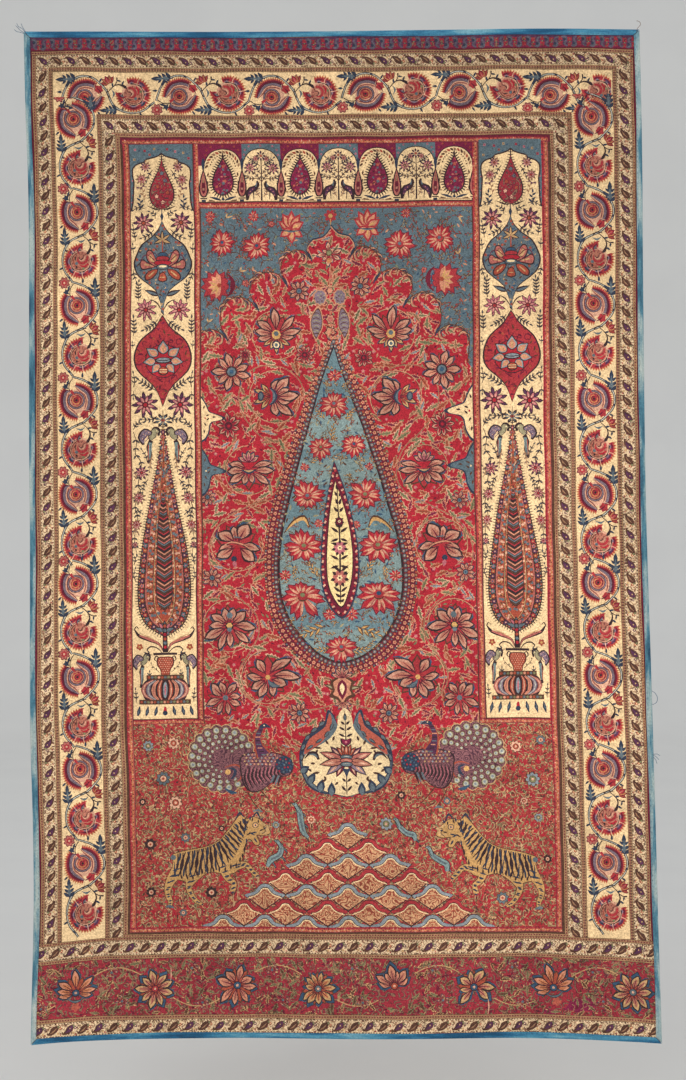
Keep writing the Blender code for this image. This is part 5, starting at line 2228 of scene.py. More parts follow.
def vase():
    """The cream vase under the boteh, held between two coral and blue horned leaves."""
    x = AXIS
    outer = [
        (0, 1204), (11, 1186), (14, 1166), (19, 1152), (27, 1144), (31, 1152), (33, 1162), (43, 1171),
        (56, 1181), (68, 1191), (75, 1204), (79, 1221), (78, 1241), (73, 1258), (62, 1275), (42, 1285),
        (16, 1288), (0, 1293),
    ]
    motif = ink("indigo", mirrored(outer, 4) + (x, 0))
    half = ink(
        "slate",
        curve(
            [
                (14, 1168), (20, 1154), (26, 1148), (28, 1160), (33, 1182), (52, 1200), (70, 1214),
                (76, 1228), (74, 1248), (66, 1266), (48, 1280), (20, 1285), (0, 1288), (0, 1200),
            ],
            True, 2,
        ),
    )
    half += ink(
        "coral",
        curve(
            [
                (25, 1150), (29, 1160), (33, 1172), (45, 1182), (60, 1193), (68, 1208), (70, 1220),
                (58, 1212), (42, 1201), (31, 1188), (24, 1174), (22, 1160),
            ],
            True, 3,
        ),
    )
    for a, b, turn, length in (
        (33, 1163, -38, 15), (46, 1174, -32, 15), (59, 1186, -45, 15), (68, 1201, -62, 15),
        (73, 1218, -80, 14),
    ):
        half += put(ink("outline", leaf(length, 8, 0, 4)), (a, b), turn)
        half += put(ink("slate", leaf(length - 3, 5, 0, 4)), (a + 1, b + 1), turn)
    for a, b, turn in ((20, 1166, -68), (27, 1180, -52), (39, 1193, -35), (54, 1204, -32)):
        half += put(ink("outline", leaf(15, 6, 0, 4)) + ink("slate", leaf(13, 3.6, 0, 3)), (a, b), turn)
    motif += put(both(half), (x, 0))
    cream = [
        (0, 1141), (8, 1148), (12, 1160), (13, 1172), (19, 1184), (31, 1197), (48, 1207), (66, 1219),
        (73, 1231), (71, 1244), (64, 1258), (52, 1271), (36, 1281), (16, 1287), (0, 1291),
    ]
    motif += ink("outline", mirrored([(a * 1.02, b + 1) for a, b in cream], 3) + (x, 0))
    motif += ink("pale", mirrored(cream, 3) + (x, 0))
    inside = []
    for a, b, turn, length in (
        (26, 1290, 92, 24), (46, 1283, 106, 23), (64, 1269, 122, 22), (77, 1250, 146, 18)
    ):
        inside += put(ink("indigo", leaf(length, 14, 0, 4)), (a, b), turn)
        inside += put(ink("slate", leaf(length * 0.72, 8.6, 0, 4)), (a, b), turn)
    lobes = (
        (-60, 30, 13, "maroon"), (-34, 38, 15, "mauve"), (52, 34, 14, "purple"), (24, 44, 16, "brick"),
        (-5, 42, 15, "clay"),
    )
    for turn, length, wide, dye in lobes:
        petal = ink("outline", leaf(length, wide, 2, 4)) + ink(dye, leaf(length * 0.93, wide * 0.74, 2, 4))
        petal += put(ink("blush", leaf(length * 0.5, wide * 0.26, 1, 3)), (length * 0.32, 0.6))
        inside += put(
            petal + ink("maroon", brush([(4, 0), (length * 0.5, 0.8)], (1.6, 0.6))), (4, 1232), turn
        )
    inside += ink("outline", brush([(46, 1229), (51, 1219), (61, 1218), (70, 1227)], (4, 7, 5, 1)))
    inside += ink("slate", brush([(48, 1226), (53, 1220.6), (62, 1220)], (2, 4, 1)))
    small = (
        (40, 1210, 8, 15), (29, 1204, 60, 10), (44, 1250, -8, 14), (33, 1261, -30, 11), (22, 1198, 110, 10),
        (52, 1236, 10, 9),
    )
    for a, b, turn, length in (
        *small, (34, 1262, 60, 7), (58, 1249, 40, 9), (47, 1212, -60, 7), (14, 1266, -40, 8)
    ):
        inside += put(
            ink("outline", leaf(length, 4.2, 0, 3)) + ink("umber", leaf(length * 0.8, 2.2, 0, 3)), (a, b),
            turn,
        )
    for b, reach, turn in ((1170, 9, 44), (1180, 12, 36), (1191, 13, 28), (1266, 9, 40), (1282, 13, 50)):
        inside += put(ink("outline", leaf(reach, 4.4, 0, 3)), (1, b), turn)
    motif += put(both(inside), (x, 0))
    motif += ink(
        "outline", brush([(x, 1146), (x, 1200)], (0.8, 2.0)), brush([(x, 1246), (x, 1288)], (2, 1.4))
    )
    motif += put(ink("outline", leaf(15, 6.4, 0, 4)) + ink("slate", leaf(12, 3.6, 0, 3)), (x, 1164), 90)
    for turn in (132, 48, 110, 70, 90):
        petal = (
            ink("outline", leaf(25, 10, 0, 4))
            + ink("rust", leaf(22.6, 7, 0, 4))
            + put(ink("blush", leaf(11, 2.4, 0, 3)), (8, 0))
        )
        motif += put(petal, (x, 1226), turn)
    cup = mirrored([(0, 1196), (9, 1193), (8, 1202), (0, 1207)], 2)
    motif += ink("outline", cup + (x, 0))
    motif += ink("wine", (cup - (0, 1200)) * 0.74 + (x, 1200))
    motif += ink("pink", disc(2.2, (x, 1200), 6))
    for b, dye in ((1225, "slate"), (1231, "brick"), (1237, "slate")):
        motif += ink("outline", disc((11, 4.8), (x, b), 12)) + ink(dye, disc((9.4, 3.4), (x, b), 12))
        motif += ink(
            "ash" if dye == "slate" else "blush",
            brush([(x - 5, b - 0.6), (x, b - 1), (x + 5, b - 0.6)], (0.5, 1.3, 0.5), 1),
        )
    return motif + ink("indigo", mirrored([(0, 1245), (7, 1244), (3, 1252), (0, 1260)], 2) + (x, 0))


SCALE_WIDE = 70.5
SCALE_TALL = 26.0


def mountain():
    """A hill of cusped scales, rimmed blue or red by rows, speckled inside, each row over the last."""
    arch = [(0, -16.5), (7, -15), (13, -9.6), (17, -3.6), (24, -0.8), (35.4, 3.4)]
    tip = [(27, 10), (18, 17), (9, 23.6), (0, 30)]
    inner = [(0, -10), (5.4, -8.6), (9.6, -3.4), (14, 0.8), (21, 4), (29, 6.6), (19, 16), (0, 29)]
    shape, face = mirrored(arch + tip, 3), mirrored(inner, 3)
    motif = []
    cream = [(-29, 9), (-21, 6.4), (-13.6, 3), (-8.6, -1.6), (-4.8, -6.4), (0, -7.6)]
    cream += [(-x, y) for x, y in cream[-2::-1]]
    for row in range(7):
        scale = ink("outline", shape) + ink("red" if row % 2 else "grey", shape * (0.975, 0.93) + (0, 0.2))
        scale += ink("outline", face) + ink("scale", face * (0.93, 0.92) + (0, 0.6))
        scale += ink("pale", brush(cream, 1.3, 3))
        scale += ink(
            "rust", brush([(-17, 7), (-9, 4), (-5, -1.8), (0, -3.4), (5, -1.8), (9, 4), (17, 7)], 1.1, 3)
        )
        scale += ink(
            "rust", brush([(-11, 12), (-5, 9), (-3, 4.4), (0, 3.4), (3, 4.4), (5, 9), (11, 12)], 1.0, 3)
        )
        for j in range(row + 1):
            motif += put(scale, (530 + (j - row / 2) * SCALE_WIDE, 1351 + SCALE_TALL * row))
    return motif


def small_beast(points, wide):
    """A small teal animal with short legs, darker along its edge and flecked along its back."""
    motif = []
    for (x, y), (a, b) in zip(points[1:-1], ((10, 3), (11, 6), (8, 9))):
        motif += ink("outline", brush([(x, y), (x + a * 0.7, y + b), (x + a, y + b + 5)], (4.6, 3.4, 2.6)))
        motif += ink("slate", brush([(x, y), (x + a * 0.7, y + b), (x + a, y + b + 4)], (3, 1.8, 1)))
    motif += ink("outline", brush(points, np.array(wide) + 3.0, 4))
    motif += ink("sea", brush(points, np.array(wide) + 0.8, 4))
    motif += ink("slate", brush(points[1:-1], np.array(wide[1:-1]) * 0.4, 4))
    (x, y), (a, b) = points[0], points[1]
    motif += ink("outline", brush([(a, b), (x, y), (x - 6, y - 1)], (6, 7.4, 3)))
    motif += ink("sea", brush([(a, b), (x, y), (x - 5, y - 1)], (4, 5, 1.4)))
    return motif + ink("outline", disc(1.1, (x - 1, y - 1), 5))


# Blossoms strewn over the garden: middle, size and kind
BLOSSOMS = (
    (198, 1206, 10, "grey"), (241, 1202, 11, "cream"), (222, 1261, 13, "ring"), (198, 1371, 11, "eye"),
    (300, 1453, 11, "eye"), (198, 1452, 9, "eye"), (818, 1209, 11, "cream"), (845, 1264, 13, "grey"),
    (861, 1197, 9, "ring"), (622, 1289, 8, "eye"), (790, 1464, 11, "ring"), (242, 1302, 12, "cream"),
    (596, 1337, 12, "grey"), (866, 1397, 8, "eye"), (256, 1361, 9, "ring"), (318, 1345, 6, "eye"),
    (853, 1329, 8, "grey"), (252, 1488, 7, "ring"), (830, 1300, 7, "cream"), (700, 1300, 7, "ring"),
    (470, 1330, 8, "cream"), (410, 1340, 7, "grey"), (660, 1440, 6, "ring"), (186, 1300, 7, "eye"),
)


def garden():
    """The thickly flowered ground with its peacocks, vase, tigers and hill of scales."""
    left, top, right, bottom = GARDEN
    edge = [
        (left, top), (292, top), (300, 1168), (372, 1180), (440, 1212), (480, 1280), (531, 1296),
        (582, 1280), (622, 1212), (690, 1178), (762, 1166), (right, top), (right, bottom), (left, bottom),
    ]
    motif = ink("thicket", edge)
    chance = np.random.default_rng(SEED_GARDEN)
    twigs = ink("olive", leaf(9, 2.6, 0, 2)) + put(ink("tan", leaf(7, 2.2, 0, 2)), (1, 0), 70)
    bits = [
        twigs, ink("tan", brush([(0, 0), (5, -3), (10, 1)], 1.2, 2)), ink("umber", leaf(9, 3, 1, 2)), twigs,
        ink("crimson", brush([(0, 0), (5, -2), (11, 1)], (1, 4, 1), 2)),
        ink("crimson", petals(4, 4.4, 0.5, 2)),
    ]
    motif += within(np.array(edge, float), thicket(GARDEN, 13.0, bits, chance))
    looks = {
        "grey": ("grey", "olive"), "cream": ("blush", "rust"), "ring": ("slate", "blush"),
        "eye": ("outline", "blush"),
    }
    for k, (x, y, radius, kind) in enumerate(BLOSSOMS):
        outer, heart = looks[kind]
        blossom = (
            ink("umber", petals(8, radius * 1.05, 0.25, 2))
            + ink(outer, petals(8, radius * 0.9, 0.3, 4))
        )
        blossom += ink("umber", disc(radius * 0.5, steps=8)) + ink(heart, disc(radius * 0.42, steps=8))
        blossom += ink("rust" if heart == "blush" else "blush", disc(radius * 0.2, steps=6))
        motif += put(blossom, (x, y), 17 * k)
    bird, beast = peacock(), tiger()
    motif += bird + put(bird, (2 * AXIS + 3, -5), 0, (-1, 1))
    motif += mountain()
    motif += beast + put(beast, (1080, 4), 0, (-1, 1))
    motif += small_beast([(444, 1305), (451, 1318), (453, 1334), (456, 1350), (464, 1360)], (4, 8, 9, 8, 3))
    motif += small_beast([(412, 1368), (418, 1378), (414, 1390), (400, 1398), (393, 1410)], (4, 7, 8, 9, 4))
    motif += small_beast([(613, 1330), (619, 1342), (630, 1352), (642, 1356), (644, 1366)], (4, 7, 8, 8, 3))
    motif += small_beast([(667, 1379), (673, 1392), (684, 1400), (695, 1406), (696, 1418)], (4, 7, 8, 9, 4))
    return within(rectangle(left, top, right, bottom), motif) + vase()


# The red foot band

# Its eight flowers: middle, radius, petals, turn, and heart
FOOT_FLOWERS = (
    (74, 1617, 35, CROWN, 0, "navy"),
    (205, 1616, 33, DAISY, 0, "red"),
    (343, 1611, 36, RUFFLED, 20, "navy"),
    (479, 1615, 34, STAR, 0, "slate"),
    (606, 1610, 35, SIDE, 100, "rust"),
    (740, 1613, 35, TULIP, 10, "navy"),
    (872, 1613, 35, CROWN, 12, "navy"),
    (1004, 1616, 34, DAISY, 20, "slate"),
)


def foot_band():
    """The red band of large orange and cream flowers, with vines and leaves between them."""
    low, high = FOOT_RED
    motif = ink("garnet", rectangle(0, low, WIDE, high))
    motif += ink("wine", petals(7, 20, 0.3) * (1.7, 0.7) + (915, 1642), petals(5, 12, 0.3) + (868, 1652))
    chance = np.random.default_rng(SEED_GARDEN + 1)
    kinds = [
        frond(19, "olive", "brown"), frond(17, "umber", "tan"), frond(18, "umber", "olive"),
        frond(15, "olive", "brown"),
    ]
    leaves = thicket((0, low, WIDE, high), 14.0, kinds, chance)
    buds = [
        ink("umber", leaf(8, 3, 0, 2)), ink("tan", leaf(6, 2.2, 0, 2)), ink("maroon", leaf(9, 4, 0, 2)),
        ink("brown", brush([(0, 0), (5, -3), (10, 1)], 1.2, 2)),
        ink("umber", brush([(0, 0), (6, 3), (10, -1)], 1.2, 2)),
    ]
    leaves += thicket((0, low, WIDE, high), 9.0, buds, chance)
    wave = [(x, 1611 + 34 * math.cos(math.pi * (x - 8) / 134)) for x in range(-10, 1070, 16)]
    leaves += vine(wave, 1.8, "tan")
    for k, x in enumerate(range(8, 1050, 134)):
        small = bloom(11, DAISY[::2], "rust") + ink("slate", disc(2.4, steps=6))
        leaves += put(small, (x + 9, 1639 - 4 * (k % 2))) + put(small, (x - 9, 1581 + 4 * (k % 2)), 30)
    for k, (x, y, radius, rows, turn, heart) in enumerate(FOOT_FLOWERS):
        flower = ink("garnet", petals(10, radius * 1.12, 0.12))
        for angle, length, width, bend in rows:
            rim = leaf(radius * length * 1.12, radius * width * 1.7, radius * bend, 4, 1.3)
            flower += put(
                ink("outline", rim) + put(ink("navy", rim), (radius * 0.02, 0), 0, 0.94), (0, 0), angle
            )
        flower += redyed(
            bloom(radius, rows, "clay" if k % 3 else "amber", "tan" if k % 2 else "salmon"), red="rust"
        )
        flower += ink("outline", disc(radius * 0.2, steps=9)) + ink(heart, disc(radius * 0.16, steps=8))
        flower += ink("blush", disc(radius * 0.07, steps=5))
        if rows is CROWN:
            flower += ink("outline", brush(arc(radius * 0.44, 205, 335), (1, 6, 1)))
            flower += ink("slate", brush(arc(radius * 0.44, 210, 330), (0.6, 3.6, 0.6)))
            flower += put(ink("coral", petals(5, radius * 0.24, 0.4)), (0, radius * 0.7))
        leaves += put(flower, (x, y), turn)
    leaves += ink(
        "blush", brush([(231, 1580), (232, 1594), (231, 1608)], (0.6, 1.8, 0.6)),
        brush([(763, 1633), (764, 1646), (762, 1660)], (0.6, 2, 0.6)),
    )
    return motif + within(rectangle(0, low, WIDE, high), leaves)


def whole_drawing():
    """The face's drawing, in painting order."""
    motif = ink("crimson", rectangle(*PANEL))
    motif += rosette_borders()
    motif += side_borders() + top_borders()
    motif += inner_side_borders() + inner_top_borders()
    motif += coral_stripes()
    motif += foot_borders()
    motif += field() + garden()
    motif += pillars() + arcade()
    return motif


# From the drawing to cloth

# The uprights where the face is cut into strips, clear of the main figures, in millimetres
STRIPS = (0.0, 174.5, 290.0, 405.0, 525.0, 645.0, 764.0, 891.0, 1050.0)

# So that patches follow the folds: their longest side, and the rows of extra points down a strip
GRID = 14.0
LEVELS = 86

# The random draw of the shapes' tints, and how far a tint may go from its dye
DRAWING_SEED = 7
TINT = 0.07

# The raster that corners snap to, how near two corners may come before they count as one, and how far
# an outline may be simplified on the face and on the reverse
SNAP = 0.25
CUT_GAP = 1e-5
FACE_SLACK = 0.12
BACK_SLACK = 0.8

# The least size of the shapes that show through to the reverse
SHOWS_THROUGH = 48.0

# The pull at the lower corners: where it is strongest, over what height, and each corner's pull and reach
PULL_DOWN = 1548.0
PULL_TALL = 75.0
LEFT_PULL = (6.5, 110.0)
RIGHT_PULL = (4.0, 130.0)


def sag(points):
    """The drawing's places on the real cloth: its lower corners were pulled down and out."""
    x, y = points.T
    low = np.exp(-(((y - PULL_DOWN) / PULL_TALL) ** 2))
    left = LEFT_PULL[0] * np.exp(-((x / LEFT_PULL[1]) ** 2))
    right = RIGHT_PULL[0] * np.exp(-(((WIDE - x) / RIGHT_PULL[1]) ** 2))
    drop = low * (left + right)
    ripple = 0.55 * np.sin(x / 23 + np.sin(y / 31)) + 0.4 * np.sin(x / 61 + y / 17)
    sway = 0.5 * np.sin(y / 27 + np.sin(x / 37)) + 0.45 * np.sin(y / 71 + x / 19)
    inside = np.clip(np.minimum(np.minimum(x, WIDE - x), np.minimum(y, TALL - y)) / 12, 0, 1)
    return np.stack([x + sway * inside, y + (drop + ripple) * inside], axis=1)


def stepped(outline):
    """The outline with its long sides cut into short ones, so that they can follow the folds."""
    sides = np.roll(outline, -1, axis=0) - outline
    parts = np.ceil(np.hypot(*sides.T) / GRID).astype(int).clip(1)
    if parts.max() == 1:
        return outline
    which = np.repeat(np.arange(len(outline)), parts)
    share = np.concatenate([np.arange(n) / n for n in parts])
    return outline[which] + sides[which] * share[:, None]


def eased(outline, slack):
    """The outline without points that stand less than the slack off the line between their neighbours."""
    while len(outline) > 6:
        before, after = np.roll(outline, 1, axis=0), np.roll(outline, -1, axis=0)
        run, arm = after - before, outline - before
        off = np.abs(run[:, 0] * arm[:, 1] - run[:, 1] * arm[:, 0]) / (np.hypot(*run.T) + 1e-9)
        spare = (off < slack) & (off <= np.roll(off, 1)) & (off < np.roll(off, -1))
        if not spare.any():
            break
        outline = outline[~spare]
    return outline


def plainer(places, edges, slack):
    """The edges without the points that stand almost on the line between their only two neighbours."""
    for _ in range(6):
        ends = np.concatenate([edges, edges[:, ::-1]])
        ends = ends[np.argsort(ends[:, 0], kind="stable")]
        count = np.bincount(ends[:, 0], minlength=len(places))
        first = np.searchsorted(ends[:, 0], np.arange(len(places)))
        two = np.flatnonzero(count == 2)
        before, after = ends[first[two], 1], ends[first[two] + 1, 1]
        run, arm = places[after] - places[before], places[two] - places[before]
        long = np.hypot(*run.T) + 1e-9
        off = np.abs(run[:, 0] * arm[:, 1] - run[:, 1] * arm[:, 0]) / long
        spare = (off < slack) & (long < GRID) & (long > 0.1)
        rank = np.full(len(places), np.inf)
        rank[two[spare]] = off[spare] + two[spare] * 1e-9
        spare &= (rank[two] < rank[before]) & (rank[two] < rank[after])
        if not spare.any():
            break
        gone = np.zeros(len(places), bool)
        gone[two[spare]] = True
        joined = np.stack([before[spare], after[spare]], axis=1)
        edges = np.concatenate([edges[~gone[edges].any(axis=1)], joined])
        edges = np.unique(np.sort(edges, axis=1), axis=0)
    return edges


def only_seen(places, triangles, owners, fresh, slack):
    """The same patches, cut again from the edges that part two owners: what lies hidden is left out."""
    sides = np.sort(triangles[:, [0, 1, 1, 2, 2, 0]].reshape(-1, 2), axis=1)
    code = sides[:, 0] * len(places) + sides[:, 1]
    order = np.argsort(code, kind="stable")
    code, owner = code[order], np.repeat(owners, 3)[order]
    twin = code[1:] == code[:-1]
    kept = np.append(True, ~twin)
    kept[:-1] &= ~(twin & (owner[1:] == owner[:-1]))
    edges = np.stack([code[kept] // len(places), code[kept] % len(places)], axis=1)
    spots, merged = np.unique(np.round(places / SNAP).astype(int), axis=0, return_inverse=True)
    spots, edges = spots * SNAP, np.sort(merged.ravel()[edges], axis=1)
    edges = np.unique(edges[edges[:, 0] != edges[:, 1]], axis=0)
    edges = plainer(spots, edges, slack)
    used, index = np.unique(edges, return_inverse=True)
    points = [Vector(p) for p in spots[used].tolist() + fresh]
    found, _, again, _, _, _ = delaunay_2d_cdt(points, index.reshape(-1, 2).tolist(), [], 0, CUT_GAP, False)
    found, again = np.array([tuple(p) for p in found]), np.array(again)
    flat = np.zeros((len(places), 3))
    flat[:, :2] = places
    tree = BVHTree.FromPolygons(flat.tolist(), triangles.tolist(), all_triangles=True)
    middles = found[again].mean(axis=1)
    nearest = [tree.find_nearest((x, y, 0))[2] for x, y in middles.tolist()]
    return found, again, owners[nearest]


def faces_of(drawing, left, right, rows, slack):
    """Cuts the drawing between two uprights into triangles, each with the dye that lies on top there."""
    inset = 1000 * INSET
    left, right = max(left, inset), min(right, WIDE - inset)
    cuts = np.linspace(inset, TALL - inset, rows + 1)
    outlines = [rectangle(left, cuts[k], right, cuts[k + 1]) for k in range(rows)]
    shows = [None] * rows
    held = [()] * rows
    frames = {}
    for number, (dye, outline, edges) in drawing:
        if outline[:, 0].max() <= left or outline[:, 0].min() >= right:
            continue
        inside = []
        for edge in edges:
            if id(edge) not in frames:
                frames[id(edge)] = len(outlines)
                outlines.append(edge)
                shows.append(None)
                held.append(())
            inside.append(frames[id(edge)])
        outlines.append(outline)
        shows.append(number)
        held.append(tuple(inside))
    points, loops = [], []
    for outline in outlines:
        outline = stepped(eased(outline, slack))
        outline = np.roll(outline, -1 - int(np.argmin(outline[:, 0] + outline[:, 1] * 1e-4)), axis=0)
        back, ahead = outline[-2] - outline[-1], outline[0] - outline[-1]
        if ahead[0] * back[1] < ahead[1] * back[0]:
            outline = np.roll(outline[::-1], -1, axis=0)
        loops.append(range(len(points), len(points) + len(outline)))
        points.extend(outline.tolist())
    columns = np.linspace(left, right, round((right - left) / GRID) + 1)
    levels = np.linspace(cuts[0], cuts[-1], LEVELS)
    fresh = np.stack(np.meshgrid(columns, levels), axis=-1).reshape(-1, 2).tolist()
    points = [Vector(p) for p in points]
    found, _, triangles, _, _, owners = delaunay_2d_cdt(points, [], loops, 1, CUT_GAP, True)
    places = np.array([tuple(p) for p in found])
    kept, tops = [], []
    for triangle, owned in zip(triangles, owners):
        owned = sorted(owned, reverse=True)
        if not owned or owned[-1] >= rows:
            continue
        over = set(owned)
        for k in owned:
            if shows[k] is not None and over.issuperset(held[k]):
                break
        kept.append(triangle)
        tops.append((0 if shows[k] is None else shows[k] + 1) * rows + owned[-1])
    places, triangles, tops = only_seen(places, np.array(kept), np.array(tops), fresh, 1.5 * slack)
    return places, triangles, tops // rows - 1, tops % rows


def mesh_of(name, points, facing, triangles, collection):
    """A smooth mesh whose points look the given ways."""
    mesh = bpy.data.meshes.new(name)
    mesh.vertices.add(len(points))
    mesh.vertices.foreach_set("co", points.ravel())
    mesh.loops.add(triangles.size)
    mesh.loops.foreach_set("vertex_index", triangles.ravel())
    mesh.polygons.add(len(triangles))
    mesh.polygons.foreach_set("loop_start", np.arange(0, triangles.size, 3))
    mesh.update(calc_edges=True)
    mesh.validate()
    mesh.normals_split_custom_set_from_vertices(facing)
    piece = bpy.data.objects.new(name, mesh)
    collection.objects.link(piece)
    return piece


def lay_print(name, left, right, rows, drawing, looks, side, material, collection):
    """A part of the drawing laid on the cloth's folds: side is 1 on the face and -1 on the reverse."""
    places, triangles, numbers, zones = faces_of(
        drawing, left, right, rows, FACE_SLACK if side > 0 else BACK_SLACK
    )
    spots = sag(places) / 1000
    points, facing = place(spots[:, 0], spots[:, 1], side * CLOTH_THICK / 2)
    triangles = (triangles[:, ::-1] if side > 0 else triangles).astype(np.int32)
    piece = mesh_of(name, points, facing * side, triangles, collection)
    mesh = piece.data
    dyes, grounds = looks
    dye = mesh.attributes.new("dye", "FLOAT_VECTOR", "FACE")
    dye.data.foreach_set("vector", dyes[numbers].ravel().astype(np.float32))
    ground = mesh.attributes.new("ground", "FLOAT", "FACE")
    ground.data.foreach_set("value", grounds[numbers].astype(np.float32))
    chart = mesh.uv_layers.new(name="OFBake")
    corners = places[triangles.ravel()]
    zone = np.repeat(zones, 3)
    tall = TALL / rows
    size = max(tall, (right - left) * rows) * 1.004
    u = (corners[:, 0] - left + zone * (right - left) * 1.002) / size
    v = 1 - (corners[:, 1] - zone * tall) / size
    chart.data.foreach_set("uv", np.stack([u, v], axis=1).ravel().astype(np.float32))
    mesh.materials.append(material)
    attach(piece, "root")
    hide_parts("cloth")
    return piece


def looks_of(drawing):
    """Each shape's linear colour, a little lighter or darker as a hand lays dye, and its ground's kind."""
    chance = np.random.default_rng(DRAWING_SEED)
    known = {name: linear(value) for name, value in DYES.items()}
    tints = 1 + TINT * chance.uniform(-1, 1, len(drawing) + 1)
    names = [dye for dye, _, _ in drawing] + ["cream"]
    dyes = np.array([known[dye] for dye in names]) * tints[:, None]
    return dyes, np.array([GROUNDS.get(dye, 0.0) for dye in names])


def lay_cloth(drawing, collection):
    """The face in upright strips, and the reverse with the large shapes only, as they show through."""
    numbered = list(enumerate(drawing))
    looks = looks_of(drawing)
    face, back = printed_cotton(), cotton_reverse()
    pieces = []
    for k in range(len(STRIPS) - 1):
        left, right = STRIPS[k], STRIPS[k + 1]
        rows = round(math.sqrt(TALL / (right - left)))
        pieces.append(
            lay_print(f"printed_face_{k + 1}", left, right, rows, numbered, looks, 1, face, collection)
        )
    large = [row for row in numbered if np.hypot(*np.ptp(row[1][1], axis=0)) > SHOWS_THROUGH]
    reverse = lay_print("cloth_reverse", 0, WIDE, 1, large, looks, -1, back, collection)
    return pieces, reverse


# The binding

STITCH_PITCH = 0.009
FIRST_STITCH = 0.014
STITCH_STEP = 0.0014
STITCH_IN = 0.0022
THREAD = 0.00045
LOOSE_THREAD = 0.0004
TUBE_SIDES = 4

# How the strip's sewn edge wanders (by how much, over what length), and how it puckers between stitches
SHORT_WANDER = (0.0005, 0.047)
LONG_WANDER = (0.0004, 0.113)
PUCKER = 0.00022
EDGES = ("top", "left", "right", "bottom")


def binding_profile(reach):
    """The folded strip's closed section as (depth in from the outer fold, lift off the cloth's middle)."""
    outer = CLOTH_THICK / 2 + AIR + BINDING_THICK
    inner = outer - BINDING_THICK
    turns = np.pi * np.arange(BEND_STEPS + 1) / BEND_STEPS
    bend = np.stack([outer - outer * np.sin(turns), outer * np.cos(turns)], axis=1)
    lining = np.stack([outer - inner * np.sin(turns), inner * np.cos(turns)], axis=1)[::-1]
    roll = BINDING_THICK * 0.3
    face = [
        (reach - roll, inner), (reach, outer - 0.6 * BINDING_THICK), (reach - roll, outer),
        (reach * 0.6, outer),
    ]
    back = [(a, -b) for a, b in face[::-1]]
    return np.concatenate([face, bend, back, lining])


def at_edge(edge, along, depth, lift):
    """Points along one edge of the panel: how far along it, in from its fold, and off the cloth."""
    length = WIDTH if edge in ("top", "bottom") else DROP
    corner = depth + MITRE_AIR
    run = np.clip(along, corner, length - corner)
    across, down = {
        "top": (run, depth),
        "bottom": (run, DROP - depth),
        "left": (depth, run),
        "right": (WIDTH - depth, run),
    }[edge]
    return place(across, down, lift)[0]


def binding(edge, material, collection):
    """One strip folded round the cut edge, a little puckered between its stitches."""
    length = WIDTH if edge in ("top", "bottom") else DROP
    along = np.linspace(0, length, 2 * round(length / STITCH_PITCH) + 1)
    start = EDGES.index(edge)
    wander = SHORT_WANDER[0] * np.sin(along / SHORT_WANDER[1] + start)
    wander = wander + LONG_WANDER[0] * np.sin(along / LONG_WANDER[1] + 2 * start)
    profile = binding_profile(BINDING_REACH)
    count = len(profile)
    depth = (
        profile[None, :, 0]
        + (wander[:, None] - LONG_WANDER[0]) * (profile[None, :, 0] > 0.6 * BINDING_REACH)
    )
    pucker = PUCKER * (np.arange(len(along)) % 2)[:, None] * (np.abs(profile[None, :, 1]) > 0.0016)
    lift = profile[None, :, 1] + np.sign(profile[None, :, 1]) * pucker
    points = at_edge(edge, np.repeat(along[:, None], count, axis=1), depth, lift).reshape(-1, 3)
    faces = []
    for k in range(len(along) - 1):
        for j in range(count):
            a, b = k * count + j, k * count + (j + 1) % count
            faces.append((a, b, b + count, a + count))
    faces += [tuple(range(count))[::-1], tuple(range(len(points) - count, len(points)))]
    if edge in ("top", "right"):
        faces = [face[::-1] for face in faces]
    return piece_of(
        "binding_strip_" + edge, points, faces, material, "binding_" + edge, collection
    )


def piece_of(name, points, faces, material, node, collection):
    """A smooth piece from points and faces that stands for a CAD node."""
    mesh = bpy.data.meshes.new(name)
    mesh.from_pydata(np.asarray(points).tolist(), [], faces)
    mesh.polygons.foreach_set("use_smooth", [True] * len(mesh.polygons))
    mesh.materials.append(material)
    mesh.update()
    piece = bpy.data.objects.new(name, mesh)
    collection.objects.link(piece)
    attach(piece, "root")
    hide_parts(node)
    return piece


def tube(path, radius):
    """A thread's points and faces along a path, thinner at both ends."""
    path = np.asarray(path, float)
    along = np.gradient(path, axis=0)
    along /= np.linalg.norm(along, axis=1, keepdims=True)
    side = np.cross(along, (0.31, 0.93, 0.19))
    side /= np.linalg.norm(side, axis=1, keepdims=True)
    other = np.cross(along, side)
    thin = np.ones(len(path))
    thin[[0, -1]] = 0.35
    turns = 2 * np.pi * np.arange(TUBE_SIDES) / TUBE_SIDES
    rings = side[:, None] * np.cos(turns)[None, :, None] + other[:, None] * np.sin(turns)[None, :, None]
    points = (path[:, None] + rings * (radius * thin)[:, None, None]).reshape(-1, 3)
    faces = []
    for k in range(len(path) - 1):
        for j in range(TUBE_SIDES):
            a, b = k * TUBE_SIDES + j, k * TUBE_SIDES + (j + 1) % TUBE_SIDES
            faces.append((a, b, b + TUBE_SIDES, a + TUBE_SIDES))
    faces += [tuple(range(TUBE_SIDES))[::-1], tuple(range(len(points) - TUBE_SIDES, len(points)))]
    return points, faces


def threads(name, paths, radius, material, node, collection):
    """Several threads as one piece."""
    points, faces = [], []
    for path in paths:
        more, rings = tube(path, radius)
        faces += [tuple(k + len(points) for k in ring) for ring in rings]
        points.extend(more.tolist())
    return piece_of(name, points, faces, material, node, collection)


